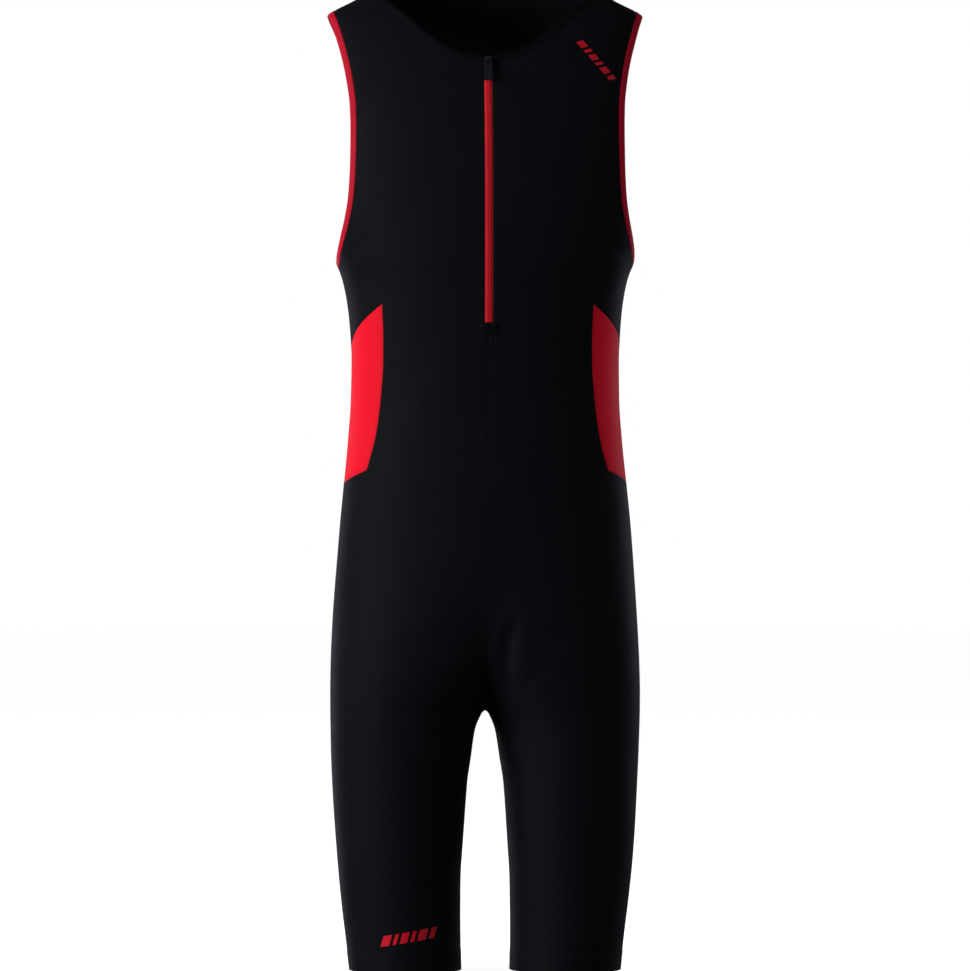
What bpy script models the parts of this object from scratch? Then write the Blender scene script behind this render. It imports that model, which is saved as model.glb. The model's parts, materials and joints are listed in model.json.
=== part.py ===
"""Sleeveless triathlon suit, filled out as it is worn, with nobody in it.

Every piece of cloth lies on one form: a stack of level sections whose sizes are in SECTIONS.
A place on the form is (turn, height): turn runs from 0 at the centre front, or the inseam, by 0.5 at
the side to 1 at the centre back, or the inseam again. Seams are lines in those two, and a panel is
the patch between four of them, so neighbours share their seam's points.

The wearer faces -Y, and left and right are the wearer's. Sizes are in millimetres until a mesh is made.
The origin is in the middle between the two points where neck and shoulder meet.
"""

import math

import bmesh
import bpy
import numpy as np
from mathutils import Matrix, Vector

MM = 0.001
WELD = 1e-6
SUIT = "triathlon_suit"

# Cloth
WALL = 1.5
SEAM_GAP = 0.3
BINDING_WIDTH = 8.5
NECK_BINDING_WIDTH = 6.5
BINDING_WALL = 2.0
BINDING_PROUD = 0.25

# Heights of what is cut into the form
SHOULDER_TIP = -31.6
UNDERARM = -282.0
ZIP_FOOT = -344.3
CROTCH = -739.0
HEM = -1002.5
SHOULDER_SEAM_NECK = -27.0
SHOULDER_SEAM_ARM = -60.0
PRINCESS_TOP = -208.0
INSERT_TIP = -327.0
INSERT_CORNER = -494.0
INSERT_FOOT = -507.0
INSERT_TOP_SIDE = -368.0

# The form's level sections. leg_axis is how far the leg's middle stands from the suit's, squareness
# is the power of the oval: 2 is an ellipse. Between shoulder tip and underarm half_width is that of
# the whole oval, and the armhole cuts its end off.
SECTION_COLUMNS = ("height", "half_width", "leg_axis", "front", "back", "squareness")
SECTIONS = (
    (6.0, 99.0, 0.0, 19.0, 47.0, 2.20),
    (0.0, 107.0, 0.0, 23.0, 51.0, 2.20),
    (-15.0, 132.5, 0.0, 34.0, 61.0, 2.20),
    (-31.6, 161.0, 0.0, 46.0, 72.0, 2.25),
    (-45.0, 166.5, 0.0, 54.0, 79.0, 2.30),
    (-77.0, 170.0, 0.0, 68.5, 91.0, 2.35),
    (-110.0, 170.5, 0.0, 80.0, 98.5, 2.38),
    (-150.0, 170.0, 0.0, 90.0, 103.5, 2.40),
    (-200.0, 167.0, 0.0, 97.0, 105.5, 2.40),
    (-240.0, 161.5, 0.0, 99.0, 104.5, 2.38),
    (-262.0, 156.8, 0.0, 99.3, 103.0, 2.37),
    (-282.0, 151.6, 0.0, 99.0, 101.0, 2.36),
    (-300.0, 145.4, 0.0, 97.8, 98.6, 2.35),
    (-320.0, 141.2, 0.0, 96.2, 95.6, 2.34),
    (-341.0, 138.6, 0.0, 94.6, 92.6, 2.33),
    (-383.0, 136.3, 0.0, 92.0, 88.0, 2.32),
    (-422.0, 136.9, 0.0, 91.0, 86.5, 2.30),
    (-463.0, 139.7, 0.0, 91.6, 89.5, 2.28),
    (-504.0, 143.7, 0.0, 92.6, 95.5, 2.26),
    (-545.0, 147.8, 4.0, 93.0, 103.0, 2.25),
    (-585.0, 151.0, 17.0, 92.5, 110.0, 2.24),
    (-625.0, 154.0, 34.0, 91.6, 116.0, 2.22),
    (-665.0, 156.4, 51.5, 89.8, 119.0, 2.20),
    (-695.0, 157.6, 64.0, 87.6, 117.5, 2.17),
    (-720.0, 158.0, 74.5, 85.2, 113.0, 2.14),
    (-739.0, 157.9, 80.08, 83.0, 108.5, 2.12),
    (-758.0, 157.5, 83.9, 81.4, 104.0, 2.10),
    (-786.0, 156.7, 85.7, 79.6, 98.5, 2.08),
    (-814.0, 155.5, 87.1, 77.8, 93.5, 2.06),
    (-851.0, 153.5, 87.4, 75.4, 88.0, 2.05),
    (-893.0, 150.4, 87.3, 72.4, 82.4, 2.04),
    (-938.0, 145.8, 85.6, 69.0, 76.8, 2.03),
    (-971.0, 141.8, 83.6, 66.4, 73.2, 2.02),
    (-1006.0, 138.0, 81.4, 64.0, 70.0, 2.02),
)
CROTCH_BLEND = 0.25
FULL_BLEND_AXIS = 60.0

# Seen from the front, how far the armhole's edge stands from the centre at each height, and how
# much further in it is cut at the back.
ARMHOLE_COLUMNS = ("height", "front_edge", "back_cut")
ARMHOLE = (
    (-31.6, 161.0, 0.0),
    (-45.0, 156.0, 2.0),
    (-60.0, 151.6, 4.0),
    (-80.0, 146.4, 6.5),
    (-100.0, 142.6, 8.5),
    (-125.0, 139.6, 9.5),
    (-150.0, 138.9, 9.5),
    (-180.0, 139.2, 8.5),
    (-200.0, 139.9, 7.0),
    (-220.0, 141.4, 5.0),
    (-240.0, 144.6, 3.0),
    (-260.0, 149.0, 1.0),
    (-274.0, 151.3, 0.3),
    (-282.0, 151.6, 0.0),
)

# The neck's edge at the front, as seen from there, and over the shoulder round the back.
NECK_FRONT_COLUMNS = ("from_centre", "height")
NECK_FRONT = (
    (0.0, -76.5),
    (20.0, -74.0),
    (40.3, -65.3),
    (58.0, -53.0),
    (74.0, -38.8),
    (88.0, -26.2),
    (100.5, -14.3),
    (105.4, -6.2),
    (107.0, 0.0),
)
NECK_BACK_COLUMNS = ("turn", "height")
NECK_BACK = (
    (0.5, 0.0),
    (0.58, -1.8),
    (0.68, -3.8),
    (0.8, -3.4),
    (0.9, -1.2),
    (1.0, 0.5),
)

# The side insert's front edge as seen from the front. Its back edge is the same, turned over.
INSERT_EDGE_COLUMNS = ("height", "from_centre")
INSERT_EDGE = (
    (-327.0, 107.1),
    (-361.0, 105.7),
    (-383.0, 105.8),
    (-422.0, 108.4),
    (-458.0, 113.2),
    (-494.0, 122.4),
)
INSERT_TOP_POWER = 1.25
INSERT_FOOT_POWER = 1.5
PRINCESS_BOW = 5.0

# How many facets: along each seam, and across each panel
PANEL_COLUMNS = 9
NECK_STEPS = 5
BACK_NECK_STEPS = 6
SLIT_STEPS = 8
FRONT_CENTRE_STEPS = 14
BACK_CENTRE_STEPS = 24
INSEAM_STEPS = 11
ARM_FRONT_STEPS = 7
ARM_UNDER_STEPS = 8
ARM_BACK_STEPS = 9
PRINCESS_STEPS = 4
INSERT_STEPS = 6
FOOT_STEPS = 4
SIDE_STEPS = 18
FRONT_CENTRE_POWER = 1.7
BACK_CENTRE_POWER = 1.4
INSEAM_POWER = 1.6
DENSE = 160

# Zip
SLIT_HALF = 4.2
SLIT_END_DROP = 1.0
TAPE_INNER = 0.15
TAPE_OUTER = 3.9
TAPE_STEPS = 16
TAPE_TOP = -77.0
TAPE_SUNK = 0.2
TAPE_WALL = 1.1
END_HALF_WIDTH = 8.0
END_HEIGHT = 12.5
END_GAP = 0.3
END_WALL = 0.9
SLIDER_AT = -82.0
SLIDER_LIFT = 0.35
SLIDER_LENGTH = 8.6
SLIDER_TOP_WIDTH = 9.0
SLIDER_FOOT_WIDTH = 6.4
SLIDER_THICK = 2.0
SLIDER_ROUND = 1.2
BRIDGE_WIDTH = 1.8
BRIDGE_BAR = 1.2
BRIDGE_HOLE = 2.2
BRIDGE_LENGTH = 5.0
BRIDGE_POST = 1.2
BRIDGE_ROUND = 1.1
BRIDGE_SUNK = 0.5
TAB_THICK = 1.2
TAB_WIDTH = 8.8
TAB_LENGTH = 23.0
TAB_WINDOW = 3.4
TAB_WINDOW_WIDTH = 3.2
TAB_ROUND = 2.2
TAB_WINDOW_ROUND = 0.5
ARC_POINTS = 5

BLACK = (0.012, 0.013, 0.016, 1.0)
RED = (0.62, 0.008, 0.02, 1.0)
DARK_METAL = (0.02, 0.02, 0.023, 1.0)


def clear_scene():
    """Empties the open file without closing it."""
    for thing in list(bpy.data.objects):
        bpy.data.objects.remove(thing, do_unlink=True)


def material(name, colour, roughness, metallic=0.0):
    made = bpy.data.materials.new(name)
    made.use_nodes = True
    shader = made.node_tree.nodes["Principled BSDF"]
    shader.inputs["Base Color"].default_value = colour
    shader.inputs["Roughness"].default_value = roughness
    shader.inputs["Metallic"].default_value = metallic
    return made


# ---------------------------------------------------------------- smooth tables


def smooth(knots, values):
    """A function through the values that never swings past them between two knots."""
    order = np.argsort(knots)
    x = np.array(knots, float)[order]
    y = np.array(values, float)[order]
    gap = np.diff(x)
    rise = np.diff(y) / gap
    slope = np.concatenate([rise[:1], np.zeros(len(rise) - 1), rise[-1:]])
    for i in range(1, len(rise)):
        if rise[i - 1] * rise[i] > 0:
            before = 2 * gap[i] + gap[i - 1]
            after = gap[i] + 2 * gap[i - 1]
            slope[i] = (before + after) / (before / rise[i - 1] + after / rise[i])

    def at(place):
        place = np.clip(place, x[0], x[-1])
        i = np.clip(np.searchsorted(x, place) - 1, 0, len(gap) - 1)
        s = (place - x[i]) / gap[i]
        level = (1 + 2 * s) * (1 - s) ** 2 * y[i] + s * s * (3 - 2 * s) * y[i + 1]
        lean = s * (1 - s) ** 2 * slope[i] + s * s * (s - 1) * slope[i + 1]
        return level + lean * gap[i]

    return at


def columns(names, rows):
    """The table's columns by name."""
    return dict(zip(names, zip(*rows)))


SECTION = columns(SECTION_COLUMNS, SECTIONS)
SIZE_AT = {name: smooth(SECTION["height"], SECTION[name]) for name in SECTION_COLUMNS[1:]}


# ---------------------------------------------------------------- the form


def blend_at(axis):
    """How softly the two halves run into each other, none while they are one oval."""
    return CROTCH_BLEND * np.minimum(1.0, axis / FULL_BLEND_AXIS)


def fullness(x, y, z):
    """1 on the form, less inside it: two ovals, one for each side, run softly into each other."""
    axis = SIZE_AT["leg_axis"](z)
    wide = SIZE_AT["half_width"](z) - axis
    deep = np.where(y < 0, SIZE_AT["front"](z), SIZE_AT["back"](z))
    power = SIZE_AT["squareness"](z)
    depth = (np.abs(y) / deep) ** power
    near = (np.abs(np.abs(x) - axis) / wide) ** power + depth
    far = (np.abs(np.abs(x) + axis) / wide) ** power + depth
    blend = blend_at(axis)
    meet = np.maximum(blend - (far - near), 0.0)
    return near - meet * meet / (4 * np.maximum(blend, 1e-9))


def form(turn, z):
    """The point of the left half at (turn, height)."""
    turn, z = np.broadcast_arrays(np.asarray(turn, float), np.asarray(z, float))
    axis = SIZE_AT["leg_axis"](z)
    wide = SIZE_AT["half_width"](z) - axis
    power = SIZE_AT["squareness"](z)
    centre = np.maximum(1 + blend_at(axis) / 4 - (axis / wide) ** power, 0.0)
    furthest = np.arctan2(centre ** (1 / power), -axis / wide)
    angle = (2 * turn - 1) * furthest
    across = np.cos(angle)
    along = np.sin(angle)
    deep = np.where(along < 0, SIZE_AT["front"](z), SIZE_AT["back"](z))
    low = (np.abs(across) ** power + np.abs(along) ** power) ** (-1 / power)
    to_middle = np.where(across < -1e-9, axis / (wide * np.maximum(-across, 1e-9)), 9.0)
    high = np.maximum(np.minimum(1.5 * low, to_middle), low)
    for _ in range(30):
        reach = (low + high) / 2
        inside = fullness(axis + reach * wide * across, reach * deep * along, z) < 1
        low = np.where(inside, reach, low)
        high = np.where(inside, high, reach)
    reach = (low + high) / 2
    x = np.maximum(axis + reach * wide * across, 0.0)
    return np.stack([x, reach * deep * along, z], -1)


def outward(points):
    """The form's outward direction at points on it."""
    step = 0.05
    x, y, z = points[..., 0], points[..., 1], points[..., 2]
    slopes = [
        fullness(x + step, y, z) - fullness(x - step, y, z),
        fullness(x, y + step, z) - fullness(x, y - step, z),
        fullness(x, y, z + step) - fullness(x, y, z - step),
    ]
    slopes = np.stack(slopes, -1)
    return slopes / np.linalg.norm(slopes, axis=-1, keepdims=True)


def turn_for(from_centre, z, back=False):
    """The turn at which the form stands so far from the centre, seen from the front or the back."""
    from_centre, z = np.broadcast_arrays(np.asarray(from_centre, float), np.asarray(z, float))
    low = np.zeros(from_centre.shape)
    high = np.full(from_centre.shape, 0.5)
    for _ in range(30):
        turn = (low + high) / 2
        short = form(1 - turn if back else turn, z)[..., 0] < from_centre
        low = np.where(short, turn, low)
        high = np.where(short, high, turn)
    turn = (low + high) / 2
    return 1 - turn if back else turn


# ---------------------------------------------------------------- lines on the form


def line(turn, z):
    return np.stack(np.broadcast_arrays(np.asarray(turn, float), np.asarray(z, float)), -1)


def placed(uz):
    return form(uz[..., 0], uz[..., 1])


def run_of(uz):
    """How far over the cloth each point of a line is from its start."""
    steps = np.linalg.norm(np.diff(placed(uz), axis=0), axis=1)
    return np.concatenate([[0], np.cumsum(steps)])


def spaced(uz, steps):
    """The line cut into so many equal steps, measured over the cloth."""
    run = run_of(uz)
    wanted = np.linspace(0, run[-1], steps + 1)
    return np.stack([np.interp(wanted, run, uz[:, i]) for i in (0, 1)], -1)


def stations(uz, start, end, steps):
    """The places in a dense line that cut a stretch of it, which may run past its end, equally."""
    places = np.arange(start, end + 1)
    run = run_of(uz[places % len(uz)])
    wanted = np.linspace(0, run[-1], steps + 1)
    return places[np.rint(np.interp(wanted, run, np.arange(len(places)))).astype(int)] % len(uz)


def moved(uz, aside, closed=False):
    """The line moved sideways over the cloth, to its left as seen from outside, corners and all."""
    points = placed(uz)
    ahead = np.roll(points, -1, 0) - points
    behind = np.roll(ahead, 1, 0)
    if not closed:
        ahead[-1] = ahead[-2]
        behind[0] = ahead[0]
    normals = outward(points)
    after = np.cross(normals, ahead)
    before = np.cross(normals, behind)
    after /= np.linalg.norm(after, axis=1, keepdims=True)
    before /= np.linalg.norm(before, axis=1, keepdims=True)
    side = (after + before) / (1 + (after * before).sum(1, keepdims=True))
    turn, z = uz[:, 0], uz[:, 1]
    by_turn = (form(turn + 1e-4, z) - form(turn - 1e-4, z)) / 2e-4
    by_height = (form(turn, z + 0.05) - form(turn, z - 0.05)) / 0.1
    a = (by_turn * by_turn).sum(1)
    b = (by_turn * by_height).sum(1)
    c = (by_height * by_height).sum(1)
    p = (by_turn * side).sum(1)
    q = (by_height * side).sum(1)
    scale = aside / (a * c - b * b)
    return uz + np.stack([(c * p - b * q) * scale, (a * q - b * p) * scale], -1)


def straight(start, end, steps):
    return start + (np.asarray(end) - start) * np.linspace(0, 1, steps + 1)[:, None]


def joined(*lines):
    """Lines that follow each other, with their shared ends once."""
    return np.concatenate([lines[0]] + [part[1:] for part in lines[1:]])


def other_side(uz):
    """A front line's twin on the back, as far from the centre."""
    out = placed(uz)[:, 0]
    return line(turn_for(out, uz[:, 1], back=True), uz[:, 1])


def armhole_edge():
    """The armhole's edge, from the shoulder tip down the front, under the arm and up the back."""
    table = columns(ARMHOLE_COLUMNS, ARMHOLE)
    front_edge = smooth(table["height"], table["front_edge"])
    back_cut = smooth(table["height"], table["back_cut"])
    middle = (SHOULDER_TIP + UNDERARM) / 2
    z = middle + (SHOULDER_TIP - middle) * np.cos(np.linspace(0, math.pi, DENSE))
    front = line(turn_for(front_edge(z), z), z)
    back = line(turn_for(front_edge(z) - back_cut(z), z, back=True), z)
    front[[0, -1], 0] = 0.5
    return np.concatenate([front, back[::-1][1:-1]])


def neck_edge():
    """The neck's edge, from the zip over the shoulder to the centre back."""
    front = columns(NECK_FRONT_COLUMNS, NECK_FRONT)
    back = columns(NECK_BACK_COLUMNS, NECK_BACK)
    height_at = smooth(front["from_centre"], front["height"])
    ridge = NECK_FRONT[-1][0]
    x = SLIT_HALF + (ridge - SLIT_HALF) * np.sin(np.linspace(0, math.pi / 2, DENSE))
    first = line(turn_for(x, height_at(x)), height_at(x))
    first[-1] = (0.5, NECK_FRONT[-1][1])
    turn = np.linspace(0.5, 1.0, DENSE)[1:]
    second = line(turn, smooth(back["turn"], back["height"])(turn))
    return np.concatenate([first, second])


def centre_turn(z, back=False):
    """The turn that keeps half a seam's gap from the centre line, or below it from the inseam."""
    half = SEAM_GAP / 2
    turns = np.linspace(0, 1, 600)[:, None] ** 2 * 0.06
    points = form(1 - turns if back else turns, z)
    off_side = points[..., 1] if back else -points[..., 1]
    clear = (points[..., 0] >= half) & (off_side >= half)
    found = turns[np.argmax(clear, axis=0), 0]
    return 1 - found if back else found


def centre_line(top, steps, power, back=False):
    """The centre seam down to the crotch, with shorter steps towards it, and on down the inseam."""
    centre = CROTCH + (top - CROTCH) * np.linspace(1, 0, steps + 1) ** power
    inseam = CROTCH + (HEM - CROTCH) * np.linspace(0, 1, INSEAM_STEPS + 1) ** INSEAM_POWER
    z = np.concatenate([centre, inseam[1:]])
    return line(centre_turn(z, back), z)


class Seams:
    """The left half's seam lines, each halfway between the two pieces that it joins."""

    def __init__(self):
        half = SEAM_GAP / 2
        self.arm = armhole_edge()
        self.arm_binding = moved(self.arm, -BINDING_WIDTH, closed=True)
        self.arm_seam = moved(self.arm, -BINDING_WIDTH - half, closed=True)
        self.neck = neck_edge()
        self.neck_binding = moved(self.neck, -NECK_BINDING_WIDTH)
        self.neck_seam = moved(self.neck, -NECK_BINDING_WIDTH - half)
        for uz in (self.neck_binding, self.neck_seam):
            uz[0, 0] = turn_for(SLIT_HALF, uz[0, 1])
            uz[-1, 0] = 1.0
        heights = self.arm_seam[:, 1]
        count = len(heights)
        shoulder = int(np.argmax(heights < SHOULDER_SEAM_ARM))
        front = int(np.argmax(heights < PRINCESS_TOP))
        back = count - 1 - int(np.argmax(heights[::-1] < PRINCESS_TOP))
        self.arm_front = stations(self.arm_seam, shoulder, front, ARM_FRONT_STEPS)
        self.arm_under = stations(self.arm_seam, front, back, ARM_UNDER_STEPS)
        self.arm_back = stations(self.arm_seam, back, shoulder + count, ARM_BACK_STEPS)
        over = int(np.argmax(self.neck_seam[:, 1] > SHOULDER_SEAM_NECK))
        self.neck_front = stations(self.neck_seam, 0, over, NECK_STEPS)
        self.neck_back = stations(self.neck_seam, over, len(self.neck_seam) - 1, BACK_NECK_STEPS)
        self.shoulder = straight(self.neck_seam[over], self.arm_seam[shoulder], PANEL_COLUMNS)
        self.side = straight((0.5, INSERT_FOOT), (0.5, HEM), SIDE_STEPS)
        self.insert_front = self.insert_edge()
        self.insert_back = other_side(self.insert_front)
        self.princess_front = self.princess(self.arm_seam[front], self.insert_front[0])
        self.princess_back = self.princess(self.arm_seam[back], self.insert_back[0])
        self.insert_top = self.round_the_side(self.insert_front[0], INSERT_TOP_SIDE, INSERT_TOP_POWER)
        self.insert_foot = self.round_the_side(self.insert_front[-1], INSERT_FOOT, INSERT_FOOT_POWER)

    def insert_edge(self):
        table = columns(INSERT_EDGE_COLUMNS, INSERT_EDGE)
        z = np.linspace(INSERT_TIP, INSERT_CORNER, DENSE)
        edge = smooth(table["height"], table["from_centre"])(z)
        return spaced(line(turn_for(edge, z), z), INSERT_STEPS)

    def princess(self, top, tip):
        """A seam from the armhole to the insert's tip, bowed towards the centre."""
        share = np.linspace(0, 1, DENSE)[:, None]
        dense = top + (tip - top) * share
        girth = np.linalg.norm(form(top[0] + 0.01, top[1]) - form(top[0], top[1])) / 0.01
        towards = -1 if top[0] < 0.5 else 1
        dense[:, 0] += towards * PRINCESS_BOW / girth * np.sin(math.pi * share[:, 0])
        return spaced(dense, PRINCESS_STEPS)

    def round_the_side(self, corner, middle, power):
        """A seam from a front corner of the insert round the side to its twin, lowest in the middle."""
        share = np.linspace(-1, 1, 2 * DENSE + 1)
        z = middle + (corner[1] - middle) * np.abs(share) ** power
        back = other_side(corner[None])[0]
        turn = np.where(share < 0, 0.5 + (0.5 - corner[0]) * share, 0.5 + (back[0] - 0.5) * share)
        front = spaced(line(turn, z)[: DENSE + 1], FOOT_STEPS)
        return joined(front, spaced(line(turn, z)[DENSE:], FOOT_STEPS))


# ---------------------------------------------------------------- panels


def patch(left, right, top, bottom):
    """The patch between four lines: rows from top to bottom, columns from left to right."""
    rows = np.linspace(0, 1, len(left))[:, None, None]
    cols = np.linspace(0, 1, len(top))[None, :, None]
    sides = (1 - cols) * left[:, None] + cols * right[:, None]
    ends = (1 - rows) * top[None] + rows * bottom[None]
    corners = (1 - rows) * ((1 - cols) * top[0] + cols * top[-1])
    corners = corners + rows * ((1 - cols) * bottom[0] + cols * bottom[-1])
    return sides + ends - corners


def front_panel(seams):
    """The front, from the forward shoulder seam to the hem."""
    neck = seams.neck_seam[seams.neck_front]
    arm = seams.arm_seam[seams.arm_front]
    foot = seams.insert_foot[: FOOT_STEPS + 1]
    right = joined(arm, seams.princess_front, seams.insert_front, foot, seams.side)
    border = moved(joined(neck, seams.shoulder, right), -SEAM_GAP / 2)
    neck = border[: NECK_STEPS + 1]
    top = border[NECK_STEPS : NECK_STEPS + PANEL_COLUMNS + 1]
    right = border[NECK_STEPS + PANEL_COLUMNS :]
    slit = np.linspace(neck[0, 1], ZIP_FOOT, SLIT_STEPS + 1)
    slit = line(turn_for(SLIT_HALF, slit), slit)
    centre = centre_line(ZIP_FOOT - SLIT_END_DROP, FRONT_CENTRE_STEPS, FRONT_CENTRE_POWER)
    left = np.concatenate([neck[:0:-1], slit, centre])
    return patch(left, right, top, straight(left[-1], right[-1], PANEL_COLUMNS))


def back_panel(seams):
    """The back, from the forward shoulder seam over the shoulder to the hem."""
    arm = seams.arm_seam[seams.arm_back][::-1]
    foot = seams.insert_foot[FOOT_STEPS:][::-1]
    left = joined(arm, seams.princess_back, seams.insert_back, foot, seams.side)
    neck = seams.neck_seam[seams.neck_back]
    border = joined(left[::-1], seams.shoulder[::-1], neck)
    border = moved(border, -SEAM_GAP / 2)
    left = border[: len(left)][::-1]
    top = border[len(left) - 1 : len(left) + PANEL_COLUMNS]
    neck = border[len(left) + PANEL_COLUMNS - 1 :]
    centre = centre_line(neck[-1, 1], BACK_CENTRE_STEPS, BACK_CENTRE_POWER, back=True)
    right = np.concatenate([neck[:-1], centre])
    return patch(left, right, top, straight(left[-1], right[-1], PANEL_COLUMNS))


def ringed_panel(left, right, top, bottom):
    """A panel with a seam on all four sides."""
    ring = joined(top, right, bottom[::-1], left[::-1])[:-1]
    ring = moved(ring, -SEAM_GAP / 2, closed=True)
    ring = np.concatenate([ring, ring[:1]])
    ends = np.cumsum([0, len(top) - 1, len(right) - 1, len(bottom) - 1, len(left) - 1])
    top, right, bottom, left = (ring[a : b + 1] for a, b in zip(ends, ends[1:]))
    return patch(left[::-1], right, top, bottom[::-1])


def underarm_panel(seams):
    top = seams.arm_seam[seams.arm_under]
    return ringed_panel(seams.princess_front, seams.princess_back, top, seams.insert_top)


def side_insert(seams):
    return ringed_panel(seams.insert_front, seams.insert_back, seams.insert_top, seams.insert_foot)


def armhole_binding(seams):
    """Rows round the armhole, columns from the seam to the edge."""
    around = np.concatenate([seams.arm_front[:-1], seams.arm_under[:-1], seams.arm_back[:-1]])
    seam = seams.arm_binding[around]
    edge = seams.arm[around]
    return np.stack([seam, (seam + edge) / 2, edge], 1)


def neck_binding(seams):
    """Half the neck's binding: rows from the zip to the centre back, columns from the seam up."""
    along = np.concatenate([seams.neck_front[:-1], seams.neck_back])
    seam = seams.neck_binding[along]
    edge = seams.neck[along]
    return np.stack([seam, (seam + edge) / 2, edge], 1)


def strip(inner, outer, cols, top, bottom, rows):
    """A patch of the front between two distances from the centre and two heights."""
    z = np.linspace(top, bottom, rows + 1)[:, None]
    x = np.linspace(inner, outer, cols + 1)[None, :]
    turn = np.where(x > 0, turn_for(np.maximum(x, TAPE_INNER), z), 0.0)
    return line(turn, z)


# ---------------------------------------------------------------- meshes


def wall_mesh(name, outer, inner, flip=False, closed=False):
    """A wall between two grids of points, closed round its edges."""
    rows, cols = outer.shape[:2]
    points = np.concatenate([outer.reshape(-1, 3), inner.reshape(-1, 3)]) * MM
    deep = rows * cols
    faces = []

    def quad(*corners):
        faces.append(corners[::-1] if flip else corners)

    for r in range(rows if closed else rows - 1):
        here = r * cols
        below = (r + 1) % rows * cols
        for c in range(cols - 1):
            a, b, d, e = here + c, here + c + 1, below + c, below + c + 1
            quad(a, d, e, b)
            quad(deep + a, deep + b, deep + e, deep + d)
        last, last_below = here + cols - 1, below + cols - 1
        quad(here, deep + here, deep + below, below)
        quad(last, last_below, deep + last_below, deep + last)
    if not closed:
        foot = (rows - 1) * cols
        for c in range(cols - 1):
            quad(c, c + 1, deep + c + 1, deep + c)
            quad(foot + c, deep + foot + c, deep + foot + c + 1, foot + c + 1)
    mesh = bpy.data.meshes.new(name)
    mesh.from_pydata(points.tolist(), [], faces)
    smooth_shaded(mesh)
    return mesh


def smooth_shaded(mesh):
    mesh.shade_smooth()
    mesh.set_sharp_from_angle(angle=math.radians(50))


def add(name, mesh, finish, collection):
    made = bpy.data.objects.new(name, mesh)
    mesh.materials.append(finish)
    collection.objects.link(made)
    return made


def cloth(name, uz, finish, collection, side=1, lift=0.0, wall=WALL, closed=False):
    """A piece of cloth on the form, or on its mirror image where side is -1."""
    points = placed(uz)
    normals = outward(points)
    mirror = np.array([side, 1, 1])
    outer = (points + lift * normals) * mirror
    inner = (points + (lift - wall) * normals) * mirror
    return add(name, wall_mesh(name, outer, inner, side < 0, closed), finish, collection)


def across(name, uz, finish, collection, lift, wall, rows_cross=False):
    """A piece of cloth whose half, given here, runs on over the centre line to its mirror image."""
    points = placed(uz)
    normals = outward(points)
    walls = []
    for level in (lift, lift - wall):
        half = points + level * normals
        if rows_cross:
            half[-1, :, 0] = 0.0
            walls.append(np.concatenate([half, half[-2::-1] * (-1, 1, 1)]))
        else:
            half[:, 0, 0] = 0.0
            walls.append(np.concatenate([half[:, :0:-1] * (-1, 1, 1), half], 1))
    return add(name, wall_mesh(name, *walls), finish, collection)


def rounded(corners, radius):
    """The outline with its corners turned into arcs."""
    points = []
    count = len(corners)
    for i, corner in enumerate(np.array(corners, float)):
        to_last = np.array(corners[i - 1]) - corner
        to_next = np.array(corners[(i + 1) % count]) - corner
        to_last /= np.linalg.norm(to_last)
        to_next /= np.linalg.norm(to_next)
        half = math.acos(np.clip(to_last @ to_next, -1, 1)) / 2
        middle = to_last + to_next
        centre = corner + middle / np.linalg.norm(middle) * radius / math.sin(half)
        start = corner + to_last * radius / math.tan(half) - centre
        end = corner + to_next * radius / math.tan(half) - centre
        for share in np.linspace(0, 1, ARC_POINTS):
            spoke = start * (1 - share) + end * share
            points.append(centre + spoke / np.linalg.norm(spoke) * radius)
    return points


def plate(name, outlines, thick, turned):
    """A flat mesh piece from its outlines, the second one a hole.

    Its outline's first axis is X, or Y for a piece that is turned, and its second one is Z.
    """
    curve = bpy.data.curves.new(name, "CURVE")
    curve.dimensions = "2D"
    curve.fill_mode = "BOTH"
    curve.extrude = thick / 2 * MM
    for outline in outlines:
        spline = curve.splines.new("POLY")
        spline.points.add(len(outline) - 1)
        spline.use_cyclic_u = True
        for point, (across_it, up) in zip(spline.points, outline):
            point.co = (across_it * MM, up * MM, 0.0, 1.0)
    flat = bpy.data.objects.new(name, curve)
    bpy.context.scene.collection.objects.link(flat)
    graph = bpy.context.evaluated_depsgraph_get()
    mesh = bpy.data.meshes.new_from_object(flat.evaluated_get(graph))
    bpy.data.objects.remove(flat, do_unlink=True)
    shape = bmesh.new()
    shape.from_mesh(mesh)
    bmesh.ops.remove_doubles(shape, verts=shape.verts, dist=WELD)
    upright = Matrix.Rotation(math.pi / 2, 4, "X")
    if turned:
        upright = Matrix.Rotation(math.pi / 2, 4, "Z") @ upright
    bmesh.ops.transform(shape, matrix=upright, verts=shape.verts)
    bmesh.ops.recalc_face_normals(shape, faces=shape.faces)
    shape.to_mesh(mesh)
    shape.free()
    mesh.name = name
    smooth_shaded(mesh)
    return mesh


# ---------------------------------------------------------------- zip hardware


def zip_place(z, lift):
    """A point over the zip, and the turn about X that lays a piece along the cloth there."""
    point = form(np.array(0.0), np.array(z))
    normal = outward(point)
    lean = -math.asin(normal[2])
    return Vector(point + lift * normal) * MM, lean


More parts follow.
